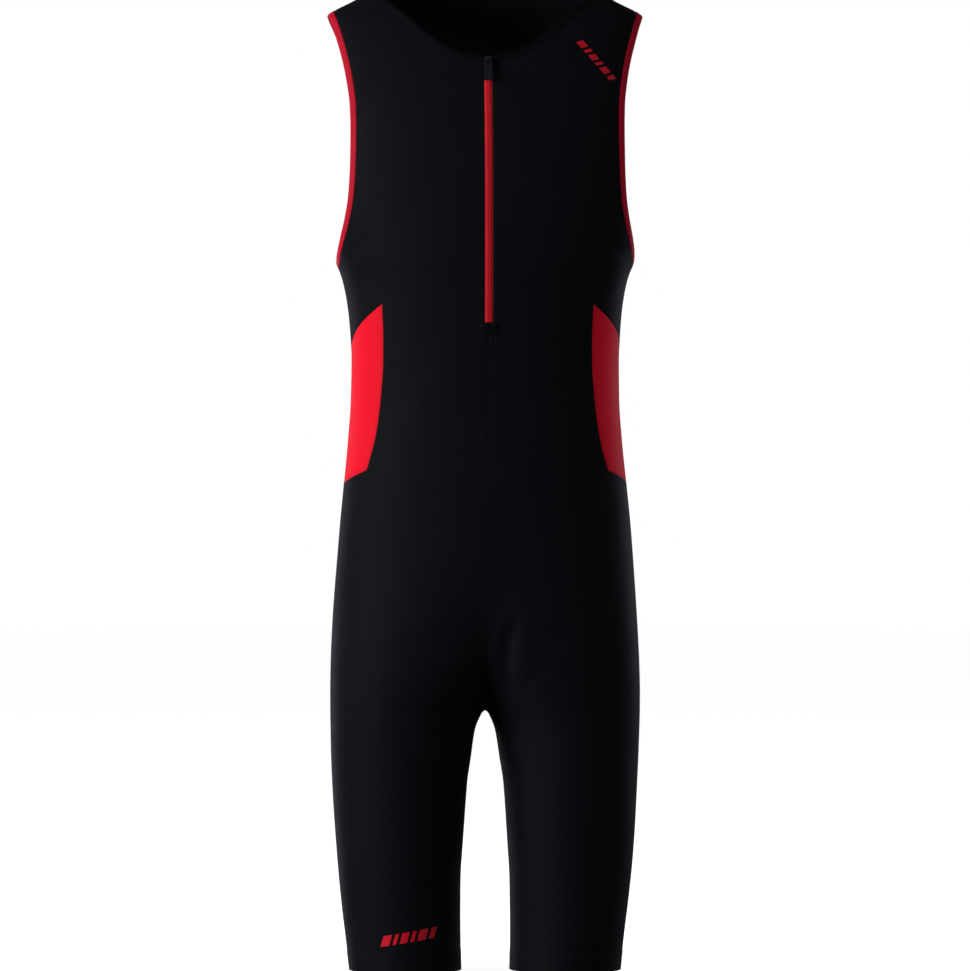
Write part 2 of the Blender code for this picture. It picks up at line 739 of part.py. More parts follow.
def zip_slider(finish, collection, cutters):
    """The slider, with the bridge that carries the tab as one piece with its body."""
    top, foot, half = SLIDER_TOP_WIDTH / 2, SLIDER_FOOT_WIDTH / 2, SLIDER_LENGTH / 2
    shield = rounded([(-top, half), (-foot, -half), (foot, -half), (top, half)], SLIDER_ROUND)
    mesh = plate("zip_slider", [shield], SLIDER_THICK, False)
    place, lean = zip_place(SLIDER_AT, SLIDER_LIFT + SLIDER_THICK / 2)
    slider = add("zip_slider", mesh, finish, collection)
    slider.location = place
    slider.rotation_euler = (lean, 0, 0)
    end, post = BRIDGE_LENGTH / 2, BRIDGE_LENGTH / 2 - BRIDGE_POST
    low, high = SLIDER_THICK / 2 - BRIDGE_SUNK, SLIDER_THICK / 2 + BRIDGE_HOLE + BRIDGE_BAR
    outer = rounded([(-low, -end), (-high, -end), (-high, end), (-low, end)], BRIDGE_ROUND)
    outer = [(y, z) for y, z in outer if y < -low - BRIDGE_ROUND]
    hole = -low - BRIDGE_SUNK - BRIDGE_HOLE
    staple = [(-low, -end), *outer, (-low, end), (-low, post), (hole, post), (hole, -post), (-low, -post)]
    bridge = add("bridge_shape", plate("bridge_shape", [staple], BRIDGE_WIDTH, True), finish, cutters)
    bridge.location = place
    bridge.rotation_euler = (lean, 0, 0)
    bridge.hide_render = True
    bridge.display_type = "WIRE"
    union = slider.modifiers.new("bridge", "BOOLEAN")
    union.operation = "UNION"
    union.solver = "MANIFOLD"  # the exact solver loses the body here
    union.object = bridge


def zip_pull_tab(finish, collection):
    """The tab, whose cross-bar turns under the bridge: its origin is on the bar's middle."""
    half, bar = TAB_WIDTH / 2, TAB_THICK / 2
    foot = bar - TAB_LENGTH
    outline = rounded([(-half, bar), (-half, foot), (half, foot), (half, bar)], TAB_ROUND)
    side, low = TAB_WINDOW_WIDTH / 2, -bar - TAB_WINDOW
    window = rounded([(-side, -bar), (-side, low), (side, low), (side, -bar)], TAB_WINDOW_ROUND)
    tab = add("zip_pull_tab", plate("zip_pull_tab", [outline, window], TAB_THICK, False), finish, collection)
    tab.location, lean = zip_place(SLIDER_AT, SLIDER_LIFT + SLIDER_THICK + BRIDGE_HOLE / 2)
    tab.rotation_euler = (lean, 0, 0)


def main():
    clear_scene()
    collection = bpy.data.collections.new(SUIT)
    cutters = bpy.data.collections.new("cutters")
    for made in (collection, cutters):
        bpy.context.scene.collection.children.link(made)
    knit = material("black_knit", BLACK, 0.6)
    red_knit = material("red_knit", RED, 0.6)
    black_binding = material("black_binding", BLACK, 0.7)
    red_binding = material("red_binding", RED, 0.7)
    red_tape = material("red_tape", RED, 0.75)
    metal = material("dark_metal", DARK_METAL, 0.35, 0.8)
    seams = Seams()
    panels = (
        ("front", front_panel(seams), knit),
        ("back", back_panel(seams), knit),
        ("underarm", underarm_panel(seams), knit),
        ("side_insert", side_insert(seams), red_knit),
    )
    tape = strip(TAPE_INNER, TAPE_OUTER, 1, TAPE_TOP, ZIP_FOOT + END_GAP, TAPE_STEPS)
    for side, word in ((1, "left"), (-1, "right")):
        for name, uz, finish in panels:
            cloth(f"{name}_{word}", uz, finish, collection, side)
        binding = armhole_binding(seams)
        name = f"armhole_binding_{word}"
        cloth(name, binding, red_binding, collection, side, BINDING_PROUD, BINDING_WALL, closed=True)
        cloth(f"zip_tape_{word}", tape, red_tape, collection, side, -TAPE_SUNK, TAPE_WALL)
    across("neck_binding", neck_binding(seams), black_binding, collection, BINDING_PROUD, BINDING_WALL, True)
    end = strip(0.0, END_HALF_WIDTH, 2, ZIP_FOOT - END_GAP, ZIP_FOOT - END_HEIGHT, 3)
    across("zip_end", end, black_binding, collection, END_GAP + END_WALL, END_WALL)
    zip_slider(metal, collection, cutters)
    zip_pull_tab(metal, collection)


main()
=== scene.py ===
"""Finish of a sleeveless triathlon suit: its cloth, bindings, zip, stitching and prints, and the stage.

Every piece of cloth lies on one form: a stack of level sections whose sizes are in SECTIONS.
A place on the form is (turn, height): turn runs from 0 at the centre front, or the inseam, by 0.5 at
the side to 1 at the centre back, or the inseam again. Seams are lines in those two.
The wearer faces -Y, and left and right are the wearer's. Sizes here are in millimetres until a mesh is made.
"""

import json
import math

import bpy
import numpy as np
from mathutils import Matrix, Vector

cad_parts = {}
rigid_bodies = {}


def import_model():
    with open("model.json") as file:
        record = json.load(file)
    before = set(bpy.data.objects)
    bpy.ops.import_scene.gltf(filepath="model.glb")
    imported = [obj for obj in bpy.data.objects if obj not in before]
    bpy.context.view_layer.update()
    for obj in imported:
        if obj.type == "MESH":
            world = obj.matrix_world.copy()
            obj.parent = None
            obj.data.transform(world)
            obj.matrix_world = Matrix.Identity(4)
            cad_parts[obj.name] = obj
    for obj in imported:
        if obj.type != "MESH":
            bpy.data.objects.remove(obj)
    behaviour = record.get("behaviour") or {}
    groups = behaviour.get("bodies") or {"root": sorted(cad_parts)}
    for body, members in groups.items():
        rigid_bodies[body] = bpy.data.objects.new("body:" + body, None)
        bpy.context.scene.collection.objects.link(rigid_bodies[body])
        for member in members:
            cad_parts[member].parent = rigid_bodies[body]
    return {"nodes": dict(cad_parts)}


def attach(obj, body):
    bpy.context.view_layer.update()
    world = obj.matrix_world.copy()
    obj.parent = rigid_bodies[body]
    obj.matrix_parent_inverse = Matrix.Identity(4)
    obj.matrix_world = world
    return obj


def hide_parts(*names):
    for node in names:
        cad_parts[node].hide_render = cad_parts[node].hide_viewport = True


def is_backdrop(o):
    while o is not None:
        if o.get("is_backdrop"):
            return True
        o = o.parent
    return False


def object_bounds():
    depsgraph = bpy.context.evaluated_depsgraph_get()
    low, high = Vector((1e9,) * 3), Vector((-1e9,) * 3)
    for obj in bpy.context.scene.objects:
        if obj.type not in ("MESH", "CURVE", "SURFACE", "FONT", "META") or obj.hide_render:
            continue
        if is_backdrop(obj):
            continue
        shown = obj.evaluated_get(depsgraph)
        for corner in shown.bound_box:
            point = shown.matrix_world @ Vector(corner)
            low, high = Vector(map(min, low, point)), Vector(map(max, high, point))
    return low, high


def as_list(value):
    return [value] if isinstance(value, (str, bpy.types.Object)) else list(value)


bl_info = {
    "name": "Triathlon Suit",
    "version": (1, 0, 0),
    "blender": (4, 5, 0),
    "location": "3D View > Sidebar > Triathlon Suit",
    "description": "Knit panels, bindings, zip, stitching and prints of a sleeveless triathlon suit",
    "category": "Object",
}

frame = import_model()
CAD_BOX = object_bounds()

MM = 0.001
SIDES = ("left", "right")

# Cloth. Pieces lap a little at their seams, so that no light comes through.
SEAM_LAP = 0.2
BINDING_WIDTH = 7.4
NECK_BINDING_WIDTH = 6.5
BINDING_WALL = 2.0
BINDING_PROUD = 0.25
# Which point of a binding's cross-section its length is taken along
BINDING_RIDGE = 4
SEAM_DIP = 0.35
SEAM_DIP_REACH = 1.3
HEM_FOLD = 20.0
HEM_PROUD = 0.3
HEM_STEP = 2.5
STRETCH_ACROSS = 1.12
STRETCH_DOWN = 1.04
# What of the binding's width lies round its edge, for the cut
ARMHOLE_ROUND_EDGE = 3.1
NECK_ROUND_EDGE = 3.6

# Heights of what is cut into the form
SHOULDER_TIP = -31.6
UNDERARM = -282.0
ZIP_FOOT = -345.9
CROTCH = -739.0
HEM = -1002.5
SHOULDER_SEAM_NECK = -27.0
SHOULDER_SEAM_ARM = -60.0
PRINCESS_TOP = -208.0
INSERT_TIP = -327.0
INSERT_CORNER = -494.0
INSERT_FOOT = -507.0
INSERT_TOP_SIDE = -368.0

# The form's level sections. leg_axis is how far the leg's middle stands from the suit's, squareness
# is the power of the oval: 2 is an ellipse. Between shoulder tip and underarm half_width is that of
# the whole oval, and the armhole cuts its end off.
SECTION_COLUMNS = ("height", "half_width", "leg_axis", "front", "back", "squareness")
SECTIONS = (
    (6.0, 99.0, 0.0, 19.0, 47.0, 2.20),
    (0.0, 107.0, 0.0, 23.0, 51.0, 2.20),
    (-15.0, 132.5, 0.0, 34.0, 61.0, 2.20),
    (-31.6, 161.0, 0.0, 46.0, 72.0, 2.25),
    (-45.0, 166.5, 0.0, 54.0, 79.0, 2.30),
    (-77.0, 170.0, 0.0, 68.5, 91.0, 2.35),
    (-110.0, 170.5, 0.0, 80.0, 98.5, 2.38),
    (-150.0, 170.0, 0.0, 90.0, 103.5, 2.40),
    (-200.0, 167.0, 0.0, 97.0, 105.5, 2.40),
    (-240.0, 161.5, 0.0, 99.0, 104.5, 2.38),
    (-262.0, 156.8, 0.0, 99.3, 103.0, 2.37),
    (-282.0, 151.6, 0.0, 99.0, 101.0, 2.36),
    (-300.0, 145.4, 0.0, 97.8, 98.6, 2.35),
    (-320.0, 141.2, 0.0, 96.2, 95.6, 2.34),
    (-341.0, 138.6, 0.0, 94.6, 92.6, 2.33),
    (-383.0, 136.3, 0.0, 92.0, 88.0, 2.32),
    (-422.0, 136.9, 0.0, 91.0, 86.5, 2.30),
    (-463.0, 139.7, 0.0, 91.6, 89.5, 2.28),
    (-504.0, 143.7, 0.0, 92.6, 95.5, 2.26),
    (-545.0, 147.8, 4.0, 93.0, 103.0, 2.25),
    (-585.0, 151.0, 17.0, 92.5, 110.0, 2.24),
    (-625.0, 154.0, 34.0, 91.6, 116.0, 2.22),
    (-665.0, 156.4, 51.5, 89.8, 119.0, 2.20),
    (-695.0, 157.6, 64.0, 87.6, 117.5, 2.17),
    (-720.0, 158.0, 74.5, 85.2, 113.0, 2.14),
    (-739.0, 157.9, 80.08, 83.0, 108.5, 2.12),
    (-758.0, 157.5, 83.9, 81.4, 104.0, 2.10),
    (-786.0, 156.7, 85.7, 79.6, 98.5, 2.08),
    (-814.0, 155.5, 87.1, 77.8, 93.5, 2.06),
    (-851.0, 153.5, 87.4, 75.4, 88.0, 2.05),
    (-893.0, 150.4, 87.3, 72.4, 82.4, 2.04),
    (-938.0, 145.8, 85.6, 69.0, 76.8, 2.03),
    (-971.0, 141.8, 83.6, 66.4, 73.2, 2.02),
    (-1006.0, 138.0, 81.4, 64.0, 70.0, 2.02),
)
CROTCH_BLEND = 0.25
FULL_BLEND_AXIS = 60.0

# Seen from the front, how far the armhole's edge stands from the centre at each height, and how
# much further in it is cut at the back.
ARMHOLE_COLUMNS = ("height", "front_edge", "back_cut")
ARMHOLE = (
    (-31.6, 161.0, 0.0),
    (-45.0, 156.0, 2.0),
    (-60.0, 151.6, 4.0),
    (-80.0, 146.4, 6.5),
    (-100.0, 142.6, 8.5),
    (-125.0, 139.6, 9.5),
    (-150.0, 138.9, 9.5),
    (-180.0, 139.2, 8.5),
    (-200.0, 139.9, 7.0),
    (-220.0, 141.4, 5.0),
    (-240.0, 144.6, 3.0),
    (-260.0, 149.0, 1.0),
    (-274.0, 151.3, 0.3),
    (-282.0, 151.6, 0.0),
)

# The neck's edge at the front, as seen from there, and over the shoulder round the back.
NECK_FRONT_COLUMNS = ("from_centre", "height")
NECK_FRONT = (
    (0.0, -76.5),
    (20.0, -74.0),
    (40.3, -65.3),
    (58.0, -53.0),
    (74.0, -38.8),
    (88.0, -26.2),
    (100.5, -14.3),
    (105.4, -6.2),
    (107.0, 0.0),
)
NECK_BACK_COLUMNS = ("turn", "height")
NECK_BACK = (
    (0.5, 0.0),
    (0.58, -1.8),
    (0.68, -3.8),
    (0.8, -3.4),
    (0.9, -1.2),
    (1.0, 0.5),
)

# The side insert's front edge as seen from the front. Its back edge is the same, turned over.
INSERT_EDGE_COLUMNS = ("height", "from_centre")
INSERT_EDGE = (
    (-327.0, 107.1),
    (-361.0, 105.7),
    (-383.0, 105.8),
    (-422.0, 108.4),
    (-458.0, 113.2),
    (-494.0, 122.4),
)
INSERT_TOP_POWER = 1.25
INSERT_FOOT_POWER = 1.5
PRINCESS_BOW = 5.0

# Soft creases, in the cloth's own places: which face, the two ends as (from the centre, height), how
# wide and how deep. Left is the wearer's, and a negative depth stands proud.
CREASE_COLUMNS = ("side", "face", "x0", "z0", "x1", "z1", "width", "depth")
CREASES = (
    ("left", "front", 20.0, -726.0, 27.0, -640.0, 10.0, 3.4),
    ("left", "front", 30.0, -726.0, 62.0, -690.0, 8.0, 0.9),
    ("right", "front", 16.0, -724.0, 52.0, -694.0, 9.0, 1.1),
    ("right", "front", 26.0, -742.0, 60.0, -738.0, 9.0, 0.9),
    ("left", "front", 28.0, -744.0, 58.0, -750.0, 8.0, 0.7),
    ("right", "front", 34.0, -676.0, 92.0, -664.0, 16.0, 0.8),
    ("left", "front", 44.0, -672.0, 98.0, -655.0, 18.0, 0.7),
    ("right", "front", 8.0, -352.0, 26.0, -374.0, 9.0, 0.5),
    ("left", "front", 10.0, -356.0, 34.0, -390.0, 10.0, 0.6),
    ("right", "front", 60.0, -404.0, 104.0, -394.0, 13.0, 0.7),
    ("left", "front", 66.0, -412.0, 104.0, -398.0, 12.0, 0.6),
    ("right", "front", 70.0, -432.0, 106.0, -424.0, 14.0, 0.5),
    ("right", "front", 112.0, -262.0, 146.0, -283.0, 9.0, 0.7),
    ("left", "front", 108.0, -256.0, 146.0, -281.0, 9.0, 0.7),
    ("right", "front", 96.0, -92.0, 126.0, -118.0, 12.0, 0.6),
    ("left", "front", 90.0, -112.0, 128.0, -132.0, 13.0, 0.5),
    ("left", "front", 40.0, -930.0, 74.0, -968.0, 13.0, 0.5),
    ("right", "front", 44.0, -905.0, 70.0, -950.0, 14.0, 0.5),
    ("left", "back", 14.0, -728.0, 58.0, -748.0, 9.0, 1.4),
    ("right", "back", 14.0, -730.0, 62.0, -744.0, 9.0, 1.5),
    ("left", "back", 52.0, -752.0, 104.0, -750.0, 13.0, 1.3),
    ("right", "back", 56.0, -750.0, 108.0, -754.0, 13.0, 1.1),
    ("left", "back", 12.0, -398.0, 88.0, -392.0, 11.0, 1.2),
    ("right", "back", 10.0, -404.0, 80.0, -390.0, 11.0, 1.1),
    ("left", "back", 20.0, -432.0, 100.0, -420.0, 12.0, 0.9),
    ("right", "back", 24.0, -428.0, 106.0, -424.0, 12.0, 1.0),
    ("right", "back", 14.0, -458.0, 70.0, -450.0, 13.0, 0.6),
    ("left", "back", 92.0, -246.0, 142.0, -278.0, 10.0, 1.0),
    ("right", "back", 96.0, -252.0, 142.0, -280.0, 10.0, 0.9),
    ("left", "back", 40.0, -900.0, 88.0, -918.0, 13.0, 0.8),
    ("right", "back", 46.0, -912.0, 92.0, -922.0, 13.0, 0.7),
    ("left", "back", 44.0, -940.0, 84.0, -948.0, 12.0, 0.6),
)
CREASE_BOW = 0.06
CREASE_FADE = 30.0
# Everywhere the cloth is also a little uneven
WAVE_DEPTH = 0.35
WAVE_FADE = 12.0

# How many facets: along each seam, and across each panel
PANEL_COLUMNS = 44
NECK_STEPS = 20
BACK_NECK_STEPS = 24
SLIT_STEPS = 72
FRONT_CENTRE_STEPS = 117
BACK_CENTRE_STEPS = 194
INSEAM_STEPS = 88
ARM_FRONT_STEPS = 52
ARM_UNDER_STEPS = 44
ARM_BACK_STEPS = 60
PRINCESS_STEPS = 32
INSERT_STEPS = 48
FOOT_STEPS = 22
SIDE_STEPS = 144
FRONT_CENTRE_POWER = 1.25
BACK_CENTRE_POWER = 1.15
INSEAM_POWER = 1.2
DENSE = 480
HALVINGS = 30
FLAT_COLUMNS = 128
FLAT_ROWS = 140

# Zip
SLIT_HALF = 4.2
SLIT_END_DROP = 1.0
TAPE_OUTER = 4.3
TAPE_STEPS = 130
TAPE_TOP = -77.0
TAPE_WALL = 1.0
END_HALF_WIDTH = 8.0
END_HEIGHT = 11.4
END_GAP = 0.3
END_WALL = 0.9


# ---------------------------------------------------------------- smooth tables


def smooth(knots, values):
    """A function through the values that never swings past them between two knots."""
    order = np.argsort(knots)
    x = np.array(knots, float)[order]
    y = np.array(values, float)[order]
    gap = np.diff(x)
    rise = np.diff(y) / gap
    slope = np.concatenate([rise[:1], np.zeros(len(rise) - 1), rise[-1:]])
    for i in range(1, len(rise)):
        if rise[i - 1] * rise[i] > 0:
            before = 2 * gap[i] + gap[i - 1]
            after = gap[i] + 2 * gap[i - 1]
            slope[i] = (before + after) / (before / rise[i - 1] + after / rise[i])

    def at(place):
        place = np.clip(place, x[0], x[-1])
        i = np.clip(np.searchsorted(x, place) - 1, 0, len(gap) - 1)
        s = (place - x[i]) / gap[i]
        level = (1 + 2 * s) * (1 - s) ** 2 * y[i] + s * s * (3 - 2 * s) * y[i + 1]
        lean = s * (1 - s) ** 2 * slope[i] + s * s * (s - 1) * slope[i + 1]
        return level + lean * gap[i]

    return at


def columns(names, rows):
    """The table's columns by name."""
    return dict(zip(names, zip(*rows)))


SECTION = columns(SECTION_COLUMNS, SECTIONS)
SIZE_AT = {name: smooth(SECTION["height"], SECTION[name]) for name in SECTION_COLUMNS[1:]}


# ---------------------------------------------------------------- the form


def blend_at(axis):
    """How softly the two halves run into each other, none while they are one oval."""
    return CROTCH_BLEND * np.minimum(1.0, axis / FULL_BLEND_AXIS)


def fullness(x, y, z):
    """1 on the form, less inside it: two ovals, one for each side, run softly into each other."""
    axis = SIZE_AT["leg_axis"](z)
    wide = SIZE_AT["half_width"](z) - axis
    deep = np.where(y < 0, SIZE_AT["front"](z), SIZE_AT["back"](z))
    power = SIZE_AT["squareness"](z)
    depth = (np.abs(y) / deep) ** power
    near = (np.abs(np.abs(x) - axis) / wide) ** power + depth
    far = (np.abs(np.abs(x) + axis) / wide) ** power + depth
    blend = blend_at(axis)
    meet = np.maximum(blend - (far - near), 0.0)
    return near - meet * meet / (4 * np.maximum(blend, 1e-9))


def halved(low, high, below):
    """The values between low and high up to which below() holds, closed in on by halving."""
    for _ in range(HALVINGS):
        middle = (low + high) / 2
        held = below(middle)
        low = np.where(held, middle, low)
        high = np.where(held, high, middle)
    return (low + high) / 2


def form(turn, z):
    """The point of the left half at (turn, height)."""
    turn, z = np.broadcast_arrays(np.asarray(turn, float), np.asarray(z, float))
    axis = SIZE_AT["leg_axis"](z)
    wide = SIZE_AT["half_width"](z) - axis
    power = SIZE_AT["squareness"](z)
    centre = np.maximum(1 + blend_at(axis) / 4 - (axis / wide) ** power, 0.0)
    furthest = np.arctan2(centre ** (1 / power), -axis / wide)
    angle = (2 * turn - 1) * furthest
    across = np.cos(angle)
    along = np.sin(angle)
    deep = np.where(along < 0, SIZE_AT["front"](z), SIZE_AT["back"](z))
    low = (np.abs(across) ** power + np.abs(along) ** power) ** (-1 / power)
    to_middle = np.where(across < -1e-9, axis / (wide * np.maximum(-across, 1e-9)), 9.0)
    high = np.maximum(np.minimum(1.5 * low, to_middle), low)

    def inside(reach):
        return fullness(axis + reach * wide * across, reach * deep * along, z) < 1

    reach = halved(low, high, inside)
    x = np.maximum(axis + reach * wide * across, 0.0)
    return np.stack([x, reach * deep * along, z], -1)


def outward(points):
    """The form's outward direction at points on it."""
    step = 0.05
    x, y, z = points[..., 0], points[..., 1], points[..., 2]
    slopes = [
        fullness(x + step, y, z) - fullness(x - step, y, z),
        fullness(x, y + step, z) - fullness(x, y - step, z),
        fullness(x, y, z + step) - fullness(x, y, z - step),
    ]
    slopes = np.stack(slopes, -1)
    return slopes / np.linalg.norm(slopes, axis=-1, keepdims=True)


def turn_for(from_centre, z, back=False):
    """The turn at which the form stands so far from the centre, seen from the front or the back."""
    from_centre, z = np.broadcast_arrays(np.asarray(from_centre, float), np.asarray(z, float))

    def short(turn):
        return form(1 - turn if back else turn, z)[..., 0] < from_centre

    turn = halved(np.zeros(z.shape), np.full(z.shape, 0.5), short)
    return 1 - turn if back else turn


# ---------------------------------------------------------------- lines on the form


def line(turn, z):
    return np.stack(np.broadcast_arrays(np.asarray(turn, float), np.asarray(z, float)), -1)


def placed(uz):
    return form(uz[..., 0], uz[..., 1])


def runs(lines):
    """How far each point of each line, given as a row of points, is from the line's start."""
    steps = np.linalg.norm(np.diff(lines, axis=1), axis=-1)
    return np.concatenate([np.zeros((len(lines), 1)), np.cumsum(steps, 1)], 1)


def run_of(uz):
    """How far over the cloth each point of a line is from its start."""
    return runs(placed(uz)[None])[0]


def cut_at(uz, run, wanted):
    """The line's places where its run comes to the wanted lengths."""
    return np.stack([np.interp(wanted, run, uz[:, i]) for i in (0, 1)], -1)


def spaced(uz, steps):
    """The line cut into so many equal steps, measured over the cloth."""
    run = run_of(uz)
    return cut_at(uz, run, np.linspace(0, run[-1], steps + 1))


def stations(uz, start, end, steps):
    """The places in a dense line that cut a stretch of it, which may run past its end, equally."""
    places = np.arange(start, end + 1)
    run = run_of(uz[places % len(uz)])
    wanted = np.linspace(0, run[-1], steps + 1)
    return places[np.rint(np.interp(wanted, run, np.arange(len(places)))).astype(int)] % len(uz)


def moved(uz, aside, closed=False):
    """The line moved sideways over the cloth, to its left as seen from outside, corners and all."""
    points = placed(uz)
    ahead = np.roll(points, -1, 0) - points
    behind = np.roll(ahead, 1, 0)
    if not closed:
        ahead[-1] = ahead[-2]
        behind[0] = ahead[0]
    normals = outward(points)
    after = np.cross(normals, ahead)
    before = np.cross(normals, behind)
    after /= np.linalg.norm(after, axis=1, keepdims=True)
    before /= np.linalg.norm(before, axis=1, keepdims=True)
    side = (after + before) / (1 + (after * before).sum(1, keepdims=True))
    turn, z = uz[:, 0], uz[:, 1]
    by_turn = (form(turn + 1e-4, z) - form(turn - 1e-4, z)) / 2e-4
    by_height = (form(turn, z + 0.05) - form(turn, z - 0.05)) / 0.1
    a = (by_turn * by_turn).sum(1)
    b = (by_turn * by_height).sum(1)
    c = (by_height * by_height).sum(1)
    p = (by_turn * side).sum(1)
    q = (by_height * side).sum(1)
    scale = aside / (a * c - b * b)
    return uz + np.stack([(c * p - b * q) * scale, (a * q - b * p) * scale], -1)


def straight(start, end, steps):
    return start + (np.asarray(end) - start) * np.linspace(0, 1, steps + 1)[:, None]


def joined(*lines):
    """Lines that follow each other, with their shared ends once."""
    return np.concatenate([lines[0]] + [part[1:] for part in lines[1:]])


def other_side(uz):
    """A front line's twin on the back, as far from the centre."""
    out = placed(uz)[:, 0]
    return line(turn_for(out, uz[:, 1], back=True), uz[:, 1])


def armhole_edge():
    """The armhole's edge, from the shoulder tip down the front, under the arm and up the back."""
    table = columns(ARMHOLE_COLUMNS, ARMHOLE)
    front_edge = smooth(table["height"], table["front_edge"])
    back_cut = smooth(table["height"], table["back_cut"])
    middle = (SHOULDER_TIP + UNDERARM) / 2
    z = middle + (SHOULDER_TIP - middle) * np.cos(np.linspace(0, math.pi, DENSE))
    front = line(turn_for(front_edge(z), z), z)
    back = line(turn_for(front_edge(z) - back_cut(z), z, back=True), z)
    front[[0, -1], 0] = 0.5
    return np.concatenate([front, back[::-1][1:-1]])


def neck_edge():
    """The neck's edge, from the zip over the shoulder to the centre back."""
    front = columns(NECK_FRONT_COLUMNS, NECK_FRONT)
    back = columns(NECK_BACK_COLUMNS, NECK_BACK)
    height_at = smooth(front["from_centre"], front["height"])
    ridge = NECK_FRONT[-1][0]
    x = SLIT_HALF + (ridge - SLIT_HALF) * np.sin(np.linspace(0, math.pi / 2, DENSE))
    first = line(turn_for(x, height_at(x)), height_at(x))
    first[-1] = (0.5, NECK_FRONT[-1][1])
    turn = np.linspace(0.5, 1.0, DENSE)[1:]
    second = line(turn, smooth(back["turn"], back["height"])(turn))
    return np.concatenate([first, second])


def centre_line(top, steps, power, back=False):
    """The centre seam down to the crotch, with shorter steps towards it, and on down the inseam."""
    centre = CROTCH + (top - CROTCH) * np.linspace(1, 0, steps + 1) ** power
    inseam = CROTCH + (HEM - CROTCH) * np.linspace(0, 1, INSEAM_STEPS + 1) ** INSEAM_POWER
    z = np.concatenate([centre, inseam[1:]])
    return line(1.0 if back else 0.0, z)


class Seams:
    """The left half's seam lines, each halfway between the two pieces that it joins."""

    def __init__(self):
        half = SEAM_LAP / 2
        self.arm = armhole_edge()
        self.arm_binding = moved(self.arm, -BINDING_WIDTH, closed=True)
        self.arm_seam = moved(self.arm, -BINDING_WIDTH + half, closed=True)
        self.neck = neck_edge()
        self.neck_binding = moved(self.neck, -NECK_BINDING_WIDTH)
        self.neck_seam = moved(self.neck, -NECK_BINDING_WIDTH + half)
        for uz in (self.neck_binding, self.neck_seam):
            uz[0, 0] = turn_for(SLIT_HALF, uz[0, 1])
            uz[-1, 0] = 1.0
        heights = self.arm_seam[:, 1]
        count = len(heights)
        shoulder = int(np.argmax(heights < SHOULDER_SEAM_ARM))
        front = int(np.argmax(heights < PRINCESS_TOP))
        back = count - 1 - int(np.argmax(heights[::-1] < PRINCESS_TOP))
        self.arm_front = stations(self.arm_seam, shoulder, front, ARM_FRONT_STEPS)
        self.arm_under = stations(self.arm_seam, front, back, ARM_UNDER_STEPS)
        self.arm_back = stations(self.arm_seam, back, shoulder + count, ARM_BACK_STEPS)
        over = int(np.argmax(self.neck_seam[:, 1] > SHOULDER_SEAM_NECK))
        self.neck_front = stations(self.neck_seam, 0, over, NECK_STEPS)
        self.neck_back = stations(self.neck_seam, over, len(self.neck_seam) - 1, BACK_NECK_STEPS)
        self.shoulder = straight(self.neck_seam[over], self.arm_seam[shoulder], PANEL_COLUMNS)
        self.side = straight((0.5, INSERT_FOOT), (0.5, HEM), SIDE_STEPS)
        self.insert_front = self.insert_edge()
        self.insert_back = other_side(self.insert_front)
        self.princess_front = self.princess(self.arm_seam[front], self.insert_front[0])
        self.princess_back = self.princess(self.arm_seam[back], self.insert_back[0])
        self.insert_top = self.round_the_side(self.insert_front[0], INSERT_TOP_SIDE, INSERT_TOP_POWER)
        self.insert_foot = self.round_the_side(self.insert_front[-1], INSERT_FOOT, INSERT_FOOT_POWER)

    def insert_edge(self):
        table = columns(INSERT_EDGE_COLUMNS, INSERT_EDGE)
        z = np.linspace(INSERT_TIP, INSERT_CORNER, DENSE)
        edge = smooth(table["height"], table["from_centre"])(z)
        return spaced(line(turn_for(edge, z), z), INSERT_STEPS)

    def princess(self, top, tip):
        """A seam from the armhole to the insert's tip, bowed towards the centre."""
        share = np.linspace(0, 1, DENSE)[:, None]
        dense = top + (tip - top) * share
        girth = np.linalg.norm(form(top[0] + 0.01, top[1]) - form(top[0], top[1])) / 0.01
        towards = -1 if top[0] < 0.5 else 1
        dense[:, 0] += towards * PRINCESS_BOW / girth * np.sin(math.pi * share[:, 0])
        return spaced(dense, PRINCESS_STEPS)

    def round_the_side(self, corner, middle, power):
        """A seam from a front corner of the insert round the side to its twin, lowest in the middle."""
        share = np.linspace(-1, 1, 2 * DENSE + 1)
        z = middle + (corner[1] - middle) * np.abs(share) ** power
        back = other_side(corner[None])[0]
        turn = np.where(share < 0, 0.5 + (0.5 - corner[0]) * share, 0.5 + (back[0] - 0.5) * share)
        front = spaced(line(turn, z)[: DENSE + 1], FOOT_STEPS)
        return joined(front, spaced(line(turn, z)[DENSE:], FOOT_STEPS))

    def round_insert(self):
        """The insert's seams, each with the sign of the sideways move that leads out of it."""

        def to_centre(seam):
            place = len(seam) // 2
            return 1 if placed(moved(seam, 1.0))[place, 0] < placed(seam)[place, 0] else -1

        up = 1 if moved(self.insert_top, 1.0)[10, 1] > self.insert_top[10, 1] else -1
        yield self.insert_front, to_centre(self.insert_front)
        yield self.insert_back, to_centre(self.insert_back)
        yield self.insert_top, up
        yield self.insert_foot, -up


def patch(left, right, top, bottom):
    """The patch between four lines: rows from top to bottom, columns from left to right."""
    rows = np.linspace(0, 1, len(left))[:, None, None]
    cols = eased(len(top) - 1)[None, :, None]
    sides = (1 - cols) * left[:, None] + cols * right[:, None]
    ends = (1 - rows) * top[None] + rows * bottom[None]
    corners = (1 - rows) * ((1 - cols) * top[0] + cols * top[-1])
    corners = corners + rows * ((1 - cols) * bottom[0] + cols * bottom[-1])
    return sides + ends - corners


# ---------------------------------------------------------------- cloth places


